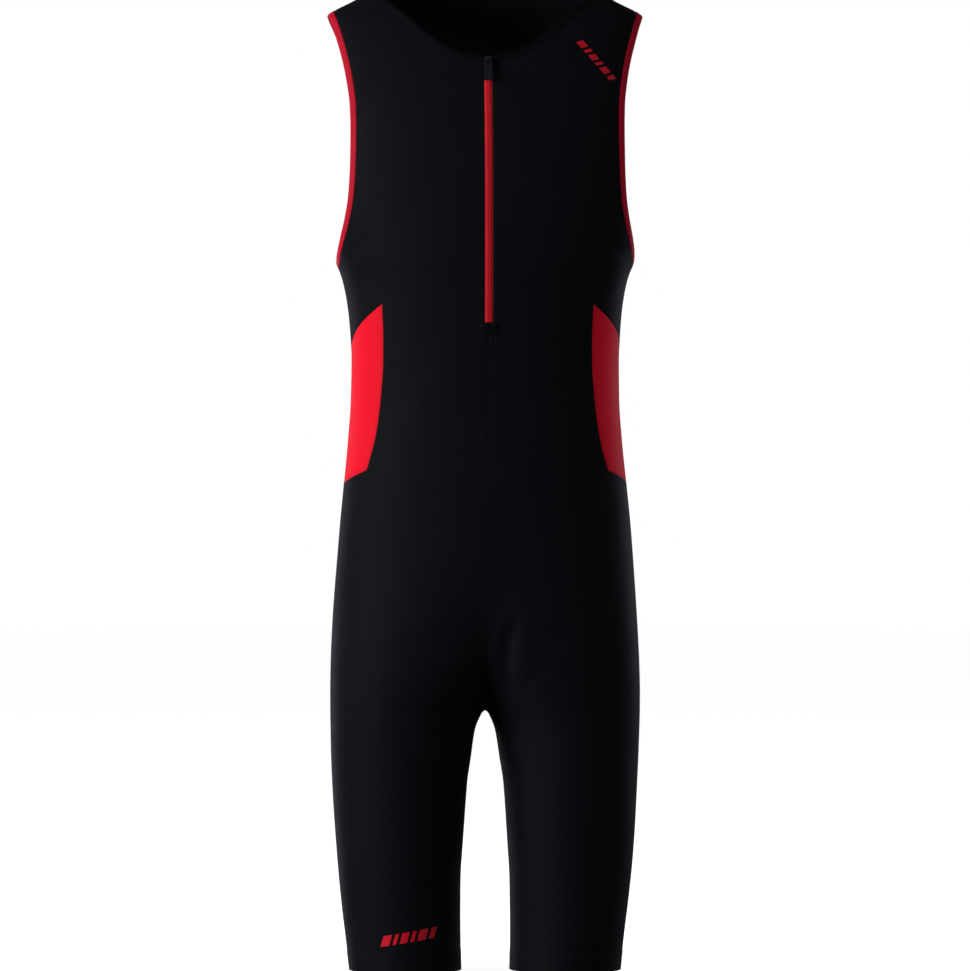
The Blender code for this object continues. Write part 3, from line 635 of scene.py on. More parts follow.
def cloth_flat(uz):
    """Where places on the form lie on the flat cloth, in metres: round the level section, and down."""
    turns = np.linspace(0, 1, FLAT_COLUMNS + 1)
    heights = np.linspace(HEM - 2, SECTIONS[0][0], FLAT_ROWS)
    run = runs(form(turns[None], heights[:, None]))
    run -= run[:, [FLAT_COLUMNS // 2]]
    row = np.clip((uz[..., 1] - heights[0]) / (heights[1] - heights[0]), 0, len(heights) - 1.001)
    col = np.clip(uz[..., 0] * FLAT_COLUMNS, 0, FLAT_COLUMNS - 0.001)
    r, c = row.astype(int), col.astype(int)
    a, b = row - r, col - c
    low = run[r, c] * (1 - b) + run[r, c + 1] * b
    high = run[r + 1, c] * (1 - b) + run[r + 1, c + 1] * b
    return np.stack([(low * (1 - a) + high * a) * MM, uz[..., 1] * MM], -1)


def crease_depth(points, side):
    """How far the creases press the cloth in at points of one half, given as on the left half."""
    x, y, z = points[..., 0], points[..., 1], points[..., 2]
    deep = np.zeros(x.shape)
    for row in CREASES:
        fold = dict(zip(CREASE_COLUMNS, row))
        if fold["side"] != side:
            continue
        along = np.array([fold["x1"] - fold["x0"], fold["z1"] - fold["z0"]])
        length = np.linalg.norm(along)
        along = along / length
        from_x, from_z = x - fold["x0"], z - fold["z0"]
        run = (from_x * along[0] + from_z * along[1]) / length
        bow = CREASE_BOW * length * np.sin(math.pi * np.clip(run, 0, 1))
        off = (from_x * along[1] - from_z * along[0] + bow) / fold["width"]
        fade = np.clip(1 - np.abs(2 * run - 1) ** 3, 0, 1) * np.where(np.abs(run - 0.5) < 0.5, 1, 0)
        faces = (y > 0) if fold["face"] == "back" else (y < 0)
        level = np.clip(np.abs(y) / CREASE_FADE, 0, 1) * faces
        deep += fold["depth"] * level * fade * (1 - 1.2 * off * off) * np.exp(-off * off)
    wave = np.sin(x / 23 + z / 61 + (1.3 if side == "left" else 4.0)) * np.sin(z / 47 + y / 31 + 0.6)
    return deep + WAVE_DEPTH * wave * np.clip(x / WAVE_FADE, 0, 1)


def edge_dip(uz, open_foot=False):
    """How far a panel's edges roll in where they are sewn."""
    points = placed(uz)

    def reach(lines):
        run = runs(lines)
        return run, run[:, -1:] - run

    rows = reach(points)
    cols = [run.T for run in reach(points.swapaxes(0, 1))]
    near = [*rows, cols[0]] if open_foot else [*rows, *cols]
    nearest = np.min(near, axis=0)
    return SEAM_DIP * np.exp(-((nearest / SEAM_DIP_REACH) ** 2))


def hem_step(z):
    """The hem is turned up, so the cloth is double there and stands a little proud."""
    share = np.clip((HEM + HEM_FOLD - z) / HEM_STEP + 0.5, 0, 1)
    return HEM_PROUD * share * share * (3 - 2 * share)


def mirror(side):
    """What turns a point of the left half into the side's."""
    return np.array([1 if side == "left" else -1, 1, 1])


def walls(uz, side, lift, wall, dip=0.0):
    """The outer and inner points of a piece of cloth on the form, or on its mirror image."""
    points = placed(uz)
    normals = outward(points)
    sunk = crease_depth(points, side)[..., None]
    level = np.broadcast_to(np.asarray(lift - dip, float), uz.shape[:2])[..., None] - sunk
    outer, inner = points + level * normals, points + (level - wall) * normals
    return outer * mirror(side), inner * mirror(side)


# ---------------------------------------------------------------- meshes


def new_object(name, mesh):
    made = bpy.data.objects.new(name, mesh)
    bpy.context.scene.collection.objects.link(made)
    return made


def make_mesh(name, points, faces, flat):
    """A mesh from points in millimetres, faces and each face corner's place on the flat cloth."""
    mesh = bpy.data.meshes.new(name)
    mesh.from_pydata((points * MM).tolist(), [], faces)
    layer = mesh.uv_layers.new(name="cloth")
    layer.uv.foreach_set("vector", np.asarray(flat, np.float32).ravel())
    mesh.shade_smooth()
    mesh.set_sharp_from_angle(angle=math.radians(50))
    mesh.validate()
    return mesh


def grid_shell(outer, inner, flat, flip):
    """Points, faces and flat places of a wall between two grids, closed round its rim."""
    rows, cols = outer.shape[:2]
    points = np.concatenate([outer.reshape(-1, 3), inner.reshape(-1, 3)])
    both = np.concatenate([flat.reshape(-1, 2)] * 2)
    deep = rows * cols
    r, c = np.meshgrid(np.arange(rows - 1), np.arange(cols - 1), indexing="ij")
    a = (r * cols + c).ravel()
    front = np.stack([a, a + cols, a + cols + 1, a + 1], 1)
    back = deep + front[:, ::-1]
    ring = np.concatenate(
        [
            np.arange(cols - 1),
            np.arange(rows - 1) * cols + cols - 1,
            (rows - 1) * cols + np.arange(cols - 1, 0, -1),
            np.arange(rows - 1, 0, -1) * cols,
        ]
    )
    after = np.roll(ring, -1)
    rim = np.stack([ring, after, after + deep, ring + deep], 1)
    faces = np.concatenate([front, back, rim])
    if flip:
        faces = faces[:, ::-1]
    return points, faces, both[faces.ravel()]


def shell_object(name, parts):
    """One object from several shells."""
    points, faces, flats, base = [], [], [], 0
    for part_points, part_faces, part_flat in parts:
        points.append(part_points)
        faces.append(part_faces + base)
        flats.append(part_flat)
        base += len(part_points)
    mesh = make_mesh(name, np.concatenate(points), np.concatenate(faces).tolist(), np.concatenate(flats))
    return new_object(name, mesh)


def ring_object(name, sections, run, girth, closed, flip):
    """A tube from closed cross-sections, one per row, round a closed edge or capped at both ends."""
    rows, cols = sections.shape[:2]
    faces, flat = [], []
    for r in range(rows if closed else rows - 1):
        below = (r + 1) % rows
        for c in range(cols):
            d = (c + 1) % cols
            corners = [(r, c, 0, 0), (below, c, 1, 0), (below, d, 1, 1), (r, d, 0, 1)]
            if flip:
                corners.reverse()
            faces.append([row * cols + col for row, col, _, _ in corners])
            flat.extend((run[r + down], girth[c + over]) for _, _, down, over in corners)
    if not closed:
        for row, turned in ((0, not flip), (rows - 1, flip)):
            loop = [row * cols + c for c in range(cols)]
            loop = loop[::-1] if turned else loop
            faces.append(loop)
            flat.extend((run[row], girth[n - row * cols]) for n in loop)
    mesh = make_mesh(name, sections.reshape(-1, 3), faces, np.array(flat) * MM)
    return new_object(name, mesh)


def flat_size(piece, across=1.0, down=1.0):
    """The cut's width, length and area before the cloth was stretched by those shares."""
    mesh = piece.data
    flat = np.zeros(len(mesh.loops) * 2)
    mesh.uv_layers[0].uv.foreach_get("vector", flat)
    flat = flat.reshape(-1, 2)
    width, length = np.ptp(flat, axis=0)
    area = 0.0
    for face in mesh.polygons:
        corner = flat[list(face.loop_indices)]
        shifted = np.roll(corner, -1, 0)
        area += abs((corner[:, 0] * shifted[:, 1] - corner[:, 1] * shifted[:, 0]).sum()) / 4
    return (width / across, length / down), area / across / down


def strip(width, length):
    """The cut of a straight strip, from its sizes in millimetres."""
    return (width * MM, length * MM), width * MM * length * MM


def sewn(piece, node, slot, finish, size=None, with_pieces=()):
    """Gives a cloth piece its finish, puts it on the suit and hides the CAD node that it stands for; the
    slot is not used, and the cut is worked out but not kept.
    """
    piece.data.materials.append(finish)
    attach(piece, "suit")
    if node:
        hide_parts(node)
    flat, area = size if size else flat_size(piece, STRETCH_ACROSS, STRETCH_DOWN)
    area = min(max(area, 0.31 * flat[0] * flat[1]), flat[0] * flat[1])
    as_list(with_pieces)
    return piece


# ---------------------------------------------------------------- panels


def eased(steps):
    """Shares from 0 to 1 that are closer together at both ends."""
    return 0.5 - 0.5 * np.cos(math.pi * np.linspace(0, 1, steps + 1))


def eased_line(uz):
    """The line cut again, with shorter steps at both ends."""
    run = run_of(uz)
    return cut_at(uz, run, eased(len(uz) - 1) * run[-1])


def front_panel(seams):
    """The front, from the forward shoulder seam to the hem."""
    neck = seams.neck_seam[seams.neck_front]
    arm = seams.arm_seam[seams.arm_front]
    foot = seams.insert_foot[: FOOT_STEPS + 1]
    right = joined(arm, seams.princess_front, seams.insert_front, foot, seams.side)
    border = moved(joined(neck, seams.shoulder, right), SEAM_LAP / 2)
    neck = border[: NECK_STEPS + 1]
    top = border[NECK_STEPS : NECK_STEPS + PANEL_COLUMNS + 1]
    right = border[NECK_STEPS + PANEL_COLUMNS :]
    slit = np.linspace(neck[0, 1], ZIP_FOOT, SLIT_STEPS + 1)
    slit = line(turn_for(SLIT_HALF, slit), slit)
    centre = centre_line(ZIP_FOOT - SLIT_END_DROP, FRONT_CENTRE_STEPS, FRONT_CENTRE_POWER)
    left = np.concatenate([neck[:0:-1], slit, centre])
    foot = straight(left[-1], right[-1], PANEL_COLUMNS)
    return patch(left, right, eased_line(top), eased_line(foot))


def back_panel(seams):
    """The back, from the forward shoulder seam over the shoulder to the hem."""
    arm = seams.arm_seam[seams.arm_back][::-1]
    foot = seams.insert_foot[FOOT_STEPS:][::-1]
    left = joined(arm, seams.princess_back, seams.insert_back, foot, seams.side)
    neck = seams.neck_seam[seams.neck_back]
    border = joined(left[::-1], seams.shoulder[::-1], neck)
    border = moved(border, SEAM_LAP / 2)
    left = border[: len(left)][::-1]
    top = border[len(left) - 1 : len(left) + PANEL_COLUMNS]
    neck = border[len(left) + PANEL_COLUMNS - 1 :]
    centre = centre_line(neck[-1, 1], BACK_CENTRE_STEPS, BACK_CENTRE_POWER, back=True)
    right = np.concatenate([neck[:-1], centre])
    foot = straight(left[-1], right[-1], PANEL_COLUMNS)
    return patch(left, right, eased_line(top), eased_line(foot))


def ringed_panel(left, right, top, bottom):
    """A panel with a seam on all four sides."""
    ring = joined(top, right, bottom[::-1], left[::-1])[:-1]
    ring = moved(ring, SEAM_LAP / 2, closed=True)
    ring = np.concatenate([ring, ring[:1]])
    ends = np.cumsum([0, len(top) - 1, len(right) - 1, len(bottom) - 1, len(left) - 1])
    top, right, bottom, left = (ring[a : b + 1] for a, b in zip(ends, ends[1:]))
    return patch(left[::-1], right, eased_line(top), eased_line(bottom[::-1]))


def underarm_panel(seams):
    top = seams.arm_seam[seams.arm_under]
    return ringed_panel(seams.princess_front, seams.princess_back, top, seams.insert_top)


def side_insert(seams):
    return ringed_panel(seams.insert_front, seams.insert_back, seams.insert_top, seams.insert_foot)


def panel_object(kind, side, uz, wall):
    """One panel as a thin shell with rolled-in sewn edges and a turned-up hem."""
    legged = kind in ("front", "back")
    dip = edge_dip(uz, open_foot=legged)
    outer, inner = walls(uz, side, hem_step(uz[..., 1]) if legged else 0.0, wall, dip)
    shell = grid_shell(outer, inner, cloth_flat(uz), side == "right")
    return shell_object(f"{kind}_{side}_knit", [shell])


def binding_sections(seam, edge, side, width):
    """Cross-sections of a binding folded round the edge, from its sewn edge outside to the one inside."""
    fold = BINDING_WALL / 2
    profile = [(0.0, -0.35), (0.35, 0.1), (1.1, 0.3), (2.2, 0.22), (3.2, 0.3)]
    profile += [(a, 0.3 + 0.12 * math.sin(math.pi * (a - 3.2) / (width - 4.2))) for a in (4.4, 5.4)]
    centre = BINDING_PROUD - fold
    for angle in np.linspace(math.pi / 2, -math.pi / 2, 9):
        profile.append((width - fold + fold * math.cos(angle), centre + fold * math.sin(angle)))
    profile += [(width * 0.45, BINDING_PROUD - BINDING_WALL), (0.0, BINDING_PROUD - BINDING_WALL)]
    profile = np.array(profile)
    share = np.clip(profile[:, 0] / width, 0, 1)[None, :, None]
    uz = seam[:, None] * (1 - share) + edge[:, None] * share
    points = placed(uz)
    sunk = crease_depth(points, side)[..., None]
    sections = points + (profile[None, :, 1:] - sunk) * outward(points)
    return sections, runs(np.concatenate([profile, profile[:1]])[None])[0]


def armhole_binding(seams, side):
    around = np.concatenate([seams.arm_front[:-1], seams.arm_under[:-1], seams.arm_back[:-1]])
    seam, edge = seams.arm_binding[around], seams.arm[around]
    sections, girth = binding_sections(seam, edge, side, BINDING_WIDTH)
    sections = sections * mirror(side)
    run = runs(np.concatenate([sections, sections[:1]])[None, :, BINDING_RIDGE])[0]
    piece = ring_object(f"armhole_binding_{side}_fold", sections, run, girth, True, side == "right")
    return piece, run[-1]


def neck_binding(seams):
    along = np.concatenate([seams.neck_front[:-1], seams.neck_back])
    halves = []
    seam, edge = seams.neck_binding[along], seams.neck[along]
    for side in SIDES:
        sections, girth = binding_sections(seam, edge, side, NECK_BINDING_WIDTH)
        halves.append(sections * mirror(side))
    left, right = halves
    left[-1, :, 0] = 0.0
    left[-1] = (left[-1] + right[-1] * np.array([0, 1, 1])) / np.array([1, 2, 2])
    sections = np.concatenate([left, right[-2::-1]])
    run = runs(sections[None, :, BINDING_RIDGE])[0]
    return ring_object("neck_binding_fold", sections, run, girth, False, False), run[-1]


# ---------------------------------------------------------------- zip and prints


# The zip tape's cross-section: from the centre, and how proud of the form. The lips hide the coil.
TAPE_PROFILE = (
    (0.04, 0.12),
    (0.12, 0.3),
    (0.4, 0.4),
    (1.0, 0.42),
    (1.6, 0.36),
    (2.3, 0.08),
    (3.0, -0.1),
    (3.6, -0.3),
    (4.3, -0.65),
)
TAPE_CUT = 12.5
TAPE_ROUND_SHARE = 1.1
COIL_TOP = -88.0
COIL_SIZE = (2.7, 0.8, 0.8)
COIL_PITCH = 1.3
COIL_SUNK = 0.3


def front_places(x, z):
    """Places on the form from where they stand seen from the front, on the left half."""
    return line(np.where(x > 0, turn_for(np.maximum(x, 0.01), z), 0.0), z)


def zip_tape(side):
    profile = np.array(TAPE_PROFILE)
    z = np.linspace(TAPE_TOP, ZIP_FOOT + END_GAP, TAPE_STEPS + 1)[:, None]
    uz = front_places(np.broadcast_to(profile[:, 0], (len(z), len(profile))), z)
    outer, inner = walls(uz, side, profile[None, :, 1], TAPE_WALL)
    shell = grid_shell(outer, inner, cloth_flat(uz), side == "right")
    return shell_object(f"zip_tape_{side}_woven", [shell])


def zip_end():
    """The patch over the foot of the zip, with its edges turned under."""
    x = np.array([0, 0.18, 0.36, 0.54, 0.7, 0.82, 0.91, 0.96, 1.0]) * END_HALF_WIDTH
    share = eased(14)[:, None]
    z = ZIP_FOOT - END_GAP - share * (END_HEIGHT - END_GAP)
    uz = front_places(np.broadcast_to(x, (len(share), len(x))), z)
    edge = np.minimum(END_HALF_WIDTH - x[None], END_HEIGHT * np.minimum(share, 1 - share))
    lift = END_GAP + END_WALL - 0.55 * np.exp(-((edge / 0.5) ** 2))
    halves = []
    points = placed(uz)
    under = points + END_GAP * outward(points)
    for side in SIDES:
        outer, _ = walls(uz, side, lift, END_WALL)
        halves.append((outer, under * mirror(side)))
    grids = []
    for left, right in zip(*halves):
        middle = (left[:, :1] + right[:, :1]) / 2 * np.array([0, 1, 1])
        grids.append(np.concatenate([right[:, :0:-1], middle, left[:, 1:]], 1))
    flat = np.stack(np.broadcast_arrays(np.concatenate([-x[:0:-1], x]), z), -1) * MM
    return shell_object("zip_end_patch", [grid_shell(*grids, flat, False)])


# Each print is a row of slanted blocks along a line seen from the front: its start, its end, its
# width and the blocks' shares of the row.
MOTIFS = {
    "chest": ("left", (93.5, -60.0), (127.0, -99.0), 6.6, (0.16, 0.07, 0.14, 0.07, 0.16, 0.1)),
    "thigh": ("right", (106.5, -969.5), (52.5, -960.5), 10.5, (0.16, 0.07, 0.14, 0.07, 0.16, 0.1)),
}
MOTIF_GAP = 0.06
MOTIF_SLANT = 0.45
MOTIF_COLUMNS = 8
MOTIF_ROWS = 6


def motif(name, film):
    """A print of slanted blocks, as a thin film on the cloth."""
    side, start, end, width, blocks = MOTIFS[name]
    start, end = np.array(start), np.array(end)
    along = end - start
    length = np.linalg.norm(along)
    over = np.array([-along[1], along[0]]) / length * (1 if side == "left" else -1)
    parts, at = [], 0.0
    for block in blocks:
        s = np.linspace(at, at + block, MOTIF_COLUMNS + 1)[None, :, None]
        t = np.linspace(-0.5, 0.5, MOTIF_ROWS + 1)[:, None, None]
        seen = start + along * s + (over * width + along / length * width * MOTIF_SLANT) * t
        uz = front_places(seen[..., 0], seen[..., 1])
        outer, inner = walls(uz, side, film + 0.05 + hem_step(uz[..., 1]), film)
        turned = np.cross(outer[0, 1] - outer[0, 0], outer[1, 0] - outer[0, 0])[1] < 0
        parts.append(grid_shell(outer, inner, cloth_flat(uz), bool(turned)))
        at += block + MOTIF_GAP
    return shell_object(f"{name}_print", parts)


# ---------------------------------------------------------------- stitching


def stitch_places(uz, side, pitch, lift, closed=False):
    """Points a pitch apart along a line, each with its way along the seam and up from the cloth."""
    if closed:
        uz = np.concatenate([uz, uz[:1]])
    run = run_of(uz)
    count = max(2, int(run[-1] / pitch))
    wanted = np.linspace(0, run[-1], count + 1)[: count if closed else count + 1]
    even = cut_at(uz, run, wanted)
    points = placed(even)
    up = outward(points)
    raised = points + (lift + hem_step(even[:, 1]) - crease_depth(points, side))[:, None] * up
    along = np.gradient(points, axis=0)
    along /= np.maximum(np.linalg.norm(along, axis=1, keepdims=True), 1e-9)
    return raised * mirror(side), along * mirror(side), up * mirror(side)


def stitch_tree(finish):
    """Puts one stitch on every point, turned along the seam and up from the cloth."""
    tree = bpy.data.node_groups.new("stitch_row", "GeometryNodeTree")
    sockets = tree.interface
    sockets.new_socket("Seam", in_out="INPUT", socket_type="NodeSocketGeometry")
    for name in ("Stitch Length", "Thread Width", "Thread Height"):
        made = sockets.new_socket(name, in_out="INPUT", socket_type="NodeSocketFloat")
        made.subtype = "DISTANCE"
    sockets.new_socket("Seed", in_out="INPUT", socket_type="NodeSocketInt")
    sockets.new_socket("Stitches", in_out="OUTPUT", socket_type="NodeSocketGeometry")

    def node(kind, settings=(), **inputs):
        made = tree.nodes.new(kind)
        for key, value in dict(settings).items():
            setattr(made, key, value)
        for key, value in inputs.items():
            socket = made.inputs[key.replace("_", " ")]
            if isinstance(value, bpy.types.NodeSocket):
                tree.links.new(value, socket)
            else:
                socket.default_value = value
        return made.outputs

    given = node("NodeGroupInput")
    bead = node("GeometryNodeMeshUVSphere", Segments=6, Rings=4, Radius=0.5)
    size = node(
        "ShaderNodeCombineXYZ", X=given["Stitch Length"], Y=given["Thread Width"], Z=given["Thread Height"]
    )
    stitch = node("GeometryNodeTransform", Geometry=bead["Mesh"], Scale=size["Vector"])
    turns = {}
    for name in ("along", "up"):
        turns[name] = node("GeometryNodeInputNamedAttribute", {"data_type": "FLOAT_VECTOR"}, Name=name)
    first = node("FunctionNodeAlignRotationToVector", {"axis": "X"}, Vector=turns["along"]["Attribute"])
    second = node(
        "FunctionNodeAlignRotationToVector",
        {"axis": "Z", "pivot_axis": "X"},
        Rotation=first["Rotation"],
        Vector=turns["up"]["Attribute"],
    )
    spread = node("FunctionNodeRandomValue", {"data_type": "FLOAT"})
    chance = spread["Value"].node
    for socket, value in zip([s for s in chance.inputs if s.enabled], (0.93, 1.05)):
        socket.default_value = value
    tree.links.new(given["Seed"], chance.inputs["Seed"])
    rows = node(
        "GeometryNodeInstanceOnPoints",
        Points=given["Seam"],
        Instance=stitch["Geometry"],
        Rotation=second["Rotation"],
    )
    tree.links.new(next(s for s in chance.outputs if s.enabled), rows["Instances"].node.inputs["Scale"])
    real = node("GeometryNodeRealizeInstances", Geometry=rows["Instances"])
    soft = node("GeometryNodeSetShadeSmooth", Geometry=real["Geometry"])
    done = node("GeometryNodeSetMaterial", Geometry=soft["Geometry"], Material=finish)
    node("NodeGroupOutput", Stitches=done["Geometry"])
    return tree


def stitched(name, places, tree, size, seed):
    """A plain mesh with a stitch at every place."""
    points, along, up = (np.concatenate(part) for part in zip(*places))
    mesh = bpy.data.meshes.new(name)
    mesh.from_pydata((points * MM).tolist(), [], [])
    for label, values in (("along", along), ("up", up)):
        stored = mesh.attributes.new(label, "FLOAT_VECTOR", "POINT")
        stored.data.foreach_set("vector", values.astype(np.float32).ravel())
    seam = new_object(name + "_seam", mesh)
    rows = seam.modifiers.new("stitches", "NODES")
    rows.node_group = tree
    values = dict(zip(("Stitch Length", "Thread Width", "Thread Height"), (s * MM for s in size)))
    values["Seed"] = seed
    for item in tree.interface.items_tree:
        if item.in_out == "INPUT" and item.name in values:
            rows[item.identifier] = values[item.name]
    bpy.context.view_layer.update()
    graph = bpy.context.evaluated_depsgraph_get()
    made = new_object(name, bpy.data.meshes.new_from_object(seam.evaluated_get(graph)))
    bpy.data.objects.remove(seam, do_unlink=True)
    return made


SEAM_ASIDE = 1.7
BINDING_ASIDE = 1.5
CENTRE_TOP_BACK = -9.0
CROTCH_STOP = -733.0
HEM_ROWS = (17.0, 14.0)
ZIP_ASIDE = 6.0
ON_KNIT = 0.08
ON_BINDING = 0.3
TACK_SIZE = (0.8, 0.45, 0.3)
TACK_PITCH = 0.9
COIL_SEED = 3


def black_rows(seams, side, pitch):
    """The rows of black thread of one half."""
    rows = []

    def sew(uz, lift=ON_KNIT, closed=False):
        rows.append(stitch_places(uz, side, pitch, lift, closed))

    for seam in (seams.shoulder, seams.princess_front, seams.princess_back, seams.side):
        sew(moved(seam, SEAM_ASIDE))
        sew(moved(seam, -SEAM_ASIDE))
    for seam, out in seams.round_insert():
        sew(moved(seam, SEAM_ASIDE * out))
    sew(moved(seams.arm, -BINDING_WIDTH - SEAM_ASIDE, closed=True), closed=True)
    sew(moved(seams.neck, -NECK_BINDING_WIDTH - SEAM_ASIDE)[4:])
    sew(moved(seams.neck, -NECK_BINDING_WIDTH + BINDING_ASIDE)[4:], lift=ON_BINDING)
    z = np.linspace(ZIP_FOOT - END_HEIGHT - 1, CROTCH_STOP, 300)
    sew(line(turn_for(SEAM_ASIDE, z), z))
    z = np.linspace(CENTRE_TOP_BACK, CROTCH_STOP, 400)
    sew(line(turn_for(SEAM_ASIDE, z, back=True), z))
    z = np.linspace(CROTCH - 12, HEM + 1, 240)
    for turn in (0.0, 1.0):
        sew(moved(line(np.full(z.shape, turn), z), SEAM_ASIDE if turn < 0.5 else -SEAM_ASIDE))
    for height in HEM_ROWS:
        turns = np.linspace(0, 1, 241)[:-1]
        sew(line(turns, HEM + height), closed=True)
    z = np.linspace(TAPE_TOP - 8, ZIP_FOOT, 240)
    sew(line(turn_for(ZIP_ASIDE, z), z))
    return rows


def red_rows(seams, side, pitch):
    """The rows of red thread of one half: inside the side insert and on the armhole's binding."""
    rows = []
    for seam, out in seams.round_insert():
        rows.append(stitch_places(moved(seam, -SEAM_ASIDE * out), side, pitch, ON_KNIT))
    on_binding = moved(seams.arm, -BINDING_WIDTH + BINDING_ASIDE, closed=True)
    rows.append(stitch_places(on_binding, side, pitch, ON_BINDING, closed=True))
    return rows


def bar_tacks(side):
    """Close rows across the zip's end patch."""
    rows = []
    for z in (-1.6, -2.6, -END_HEIGHT + 2.4, -END_HEIGHT + 1.4):
        x = np.linspace(0.3, END_HALF_WIDTH - 1.4, 40)
        height = np.full(x.shape, ZIP_FOOT + z)
        rows.append(stitch_places(front_places(x, height), side, TACK_PITCH, END_GAP + END_WALL + 0.05))
    return rows


def coil_places():
    z = np.linspace(COIL_TOP, ZIP_FOOT - 0.5, 400)
    points, _, up = stitch_places(line(np.zeros(z.shape), z), "left", COIL_PITCH, -COIL_SUNK)
    points[:, 0] = 0.0
    return [(points, np.tile([1.0, 0.0, 0.0], (len(points), 1)), up)]


# ---------------------------------------------------------------- finishes


class Signal:
    """A shader socket that sums can be written with."""

    def __init__(self, finish, socket):
        self.finish = finish
        self.socket = socket

    def math(self, operation, *others):
        return self.finish.node("ShaderNodeMath", {"operation": operation}, dict(enumerate([self, *others])))

    def __add__(self, other):
        return self.math("ADD", other)

    def __mul__(self, other):
        return self.math("MULTIPLY", other)

    def __pow__(self, other):
        return self.math("POWER", other)

    __radd__ = __add__
    __rmul__ = __mul__

    def wave(self):
        return self.math("SINE")

    def ripple(self, pitch, phase=0.0):
        """A wave between 0 and 1 that comes back after every pitch."""
        return (self * (2 * math.pi / pitch) + phase).wave() * 0.5 + 0.5

    def size(self):
        return self.math("ABSOLUTE")


class Finish:
    """A material with one Principled shader, whose constants are set on its own sockets."""

    def __init__(self, name, **constants):
        self.material = bpy.data.materials.new(name)
        self.material.use_nodes = True
        self.tree = self.material.node_tree
        self.shader = self.tree.nodes["Principled BSDF"]
        for socket, value in constants.items():
            self.shader.inputs[socket.replace("_", " ")].default_value = value

    def node(self, kind, settings=None, inputs=None, out=0):
        made = self.tree.nodes.new(kind)
        for key, value in (settings or {}).items():
            setattr(made, key, value)
        for key, value in (inputs or {}).items():
            if isinstance(value, Signal):
                self.tree.links.new(value.socket, made.inputs[key])
            else:
                made.inputs[key].default_value = value
        return Signal(self, made.outputs[out])

    def feed(self, socket, signal):
        self.tree.links.new(signal.socket, self.shader.inputs[socket])

    def cloth_place(self):
        """The place on the flat cloth in metres, as two signals."""
        place = self.node("ShaderNodeUVMap", {"uv_map": "cloth"})
        parts = self.tree.nodes.new("ShaderNodeSeparateXYZ")
        self.tree.links.new(place.socket, parts.inputs[0])
        return Signal(self, parts.outputs[0]), Signal(self, parts.outputs[1])

    def noise(self, scale, detail=3.0):
        place = self.node("ShaderNodeTexCoord", out="Object")
        return self.node(
            "ShaderNodeTexNoise", {}, {"Vector": place, "Scale": scale, "Detail": detail}, out="Fac"
        )

    def colours(self, share, low, high):
        made = self.tree.nodes.new("ShaderNodeMix")
        made.data_type = "RGBA"
        made.inputs[6].default_value = low
        made.inputs[7].default_value = high
        self.tree.links.new(share.socket, made.inputs[0])
        self.feed("Base Color", Signal(self, made.outputs[2]))

    def bump(self, height, depth, strength=1.0):
        normal = self.node("ShaderNodeBump", {}, {"Height": height, "Distance": depth, "Strength": strength})
        self.feed("Normal", normal)


def shade(colour, share):
    return (*(min(1.0, part * share) for part in colour[:3]), 1.0)


def knit(name, colour, pitch, sheen, tint, gloss, contrast):
    """Fine warp knit: wales of small V stitches, a little uneven in tone."""
    finish = Finish(
        name,
        Specular_IOR_Level=gloss,
        Sheen_Weight=sheen,
        Sheen_Roughness=0.45,
        Sheen_Tint=tint,
    )
    u, v = finish.cloth_place()
    lean = (u * (math.pi / pitch)).wave().size()
    wale = u.ripple(pitch)
    course = v.ripple(pitch / 1.3, lean * 2.4)
    loops = wale * 0.45 + course * 0.55
    cloud = finish.noise(34.0)
    heather = finish.noise(900.0, 1.0)
    tone = loops * 0.35 + cloud * 0.4 + heather * 0.25
    finish.colours(tone, shade(colour, 1 - contrast), shade(colour, 1 + contrast))
    finish.feed("Roughness", cloud * 0.12 + loops * 0.08 + 0.5)
    finish.bump(loops + heather * 0.4, 0.00009, 0.7)
    return finish.material


def ribbed(name, colour, pitch, gloss, sheen, contrast=0.3):
    """Binding cloth: fine ribs across the fold and a soft waviness along it."""
    finish = Finish(name, Specular_IOR_Level=gloss, Sheen_Weight=sheen, Sheen_Roughness=0.4)
    u, v = finish.cloth_place()
    ribs = u.ripple(pitch)
    threads = v.ripple(pitch / 1.6, ribs * 1.5)
    cloud = finish.noise(60.0)
    tone = ribs * 0.3 + threads * 0.3 + cloud * 0.4
    finish.colours(tone, shade(colour, 1 - contrast), shade(colour, 1 + contrast))
    finish.feed("Roughness", cloud * 0.15 + 0.5)
    finish.bump(ribs * 0.6 + threads * 0.4, 0.00012, 0.8)
    return finish.material


def woven_tape(name, colour, pitch):
    """Zip tape: a herringbone of fine threads, with painted shade darkening its hollows."""
    finish = Finish(name, Specular_IOR_Level=0.15, Sheen_Weight=0.02)
    u, v = finish.cloth_place()
    zigzag = (u * (math.pi / (pitch * 3))).wave().size()
    twill = v.ripple(pitch, zigzag * 4.0)
    cloud = finish.noise(80.0)
    # Painted shade: the colour is darker where the twill lies low, mixed with random tone from the cloud.
    finish.colours(twill * 0.5 + cloud * 0.5, shade(colour, 0.62), shade(colour, 1.25))
    finish.feed("Roughness", cloud * 0.1 + 0.45)
    finish.bump(twill, 0.0001, 0.8)
    return finish.material


def thread(name, colour):
    """Spun thread: two plies that twist round each other."""
    finish = Finish(name, Specular_IOR_Level=0.12, Sheen_Weight=0.02)
    place = finish.node("ShaderNodeTexCoord", out="Object")
    plies = finish.node(
        "ShaderNodeTexWave",
        {"wave_type": "BANDS", "bands_direction": "DIAGONAL"},
        {"Vector": place, "Scale": 900.0, "Distortion": 1.5},
        out="Fac",
    )
    finish.colours(plies, shade(colour, 0.7), shade(colour, 1.3))
    finish.feed("Roughness", plies * 0.15 + 0.5)
    finish.bump(plies, 0.00006, 0.6)
    return finish.material


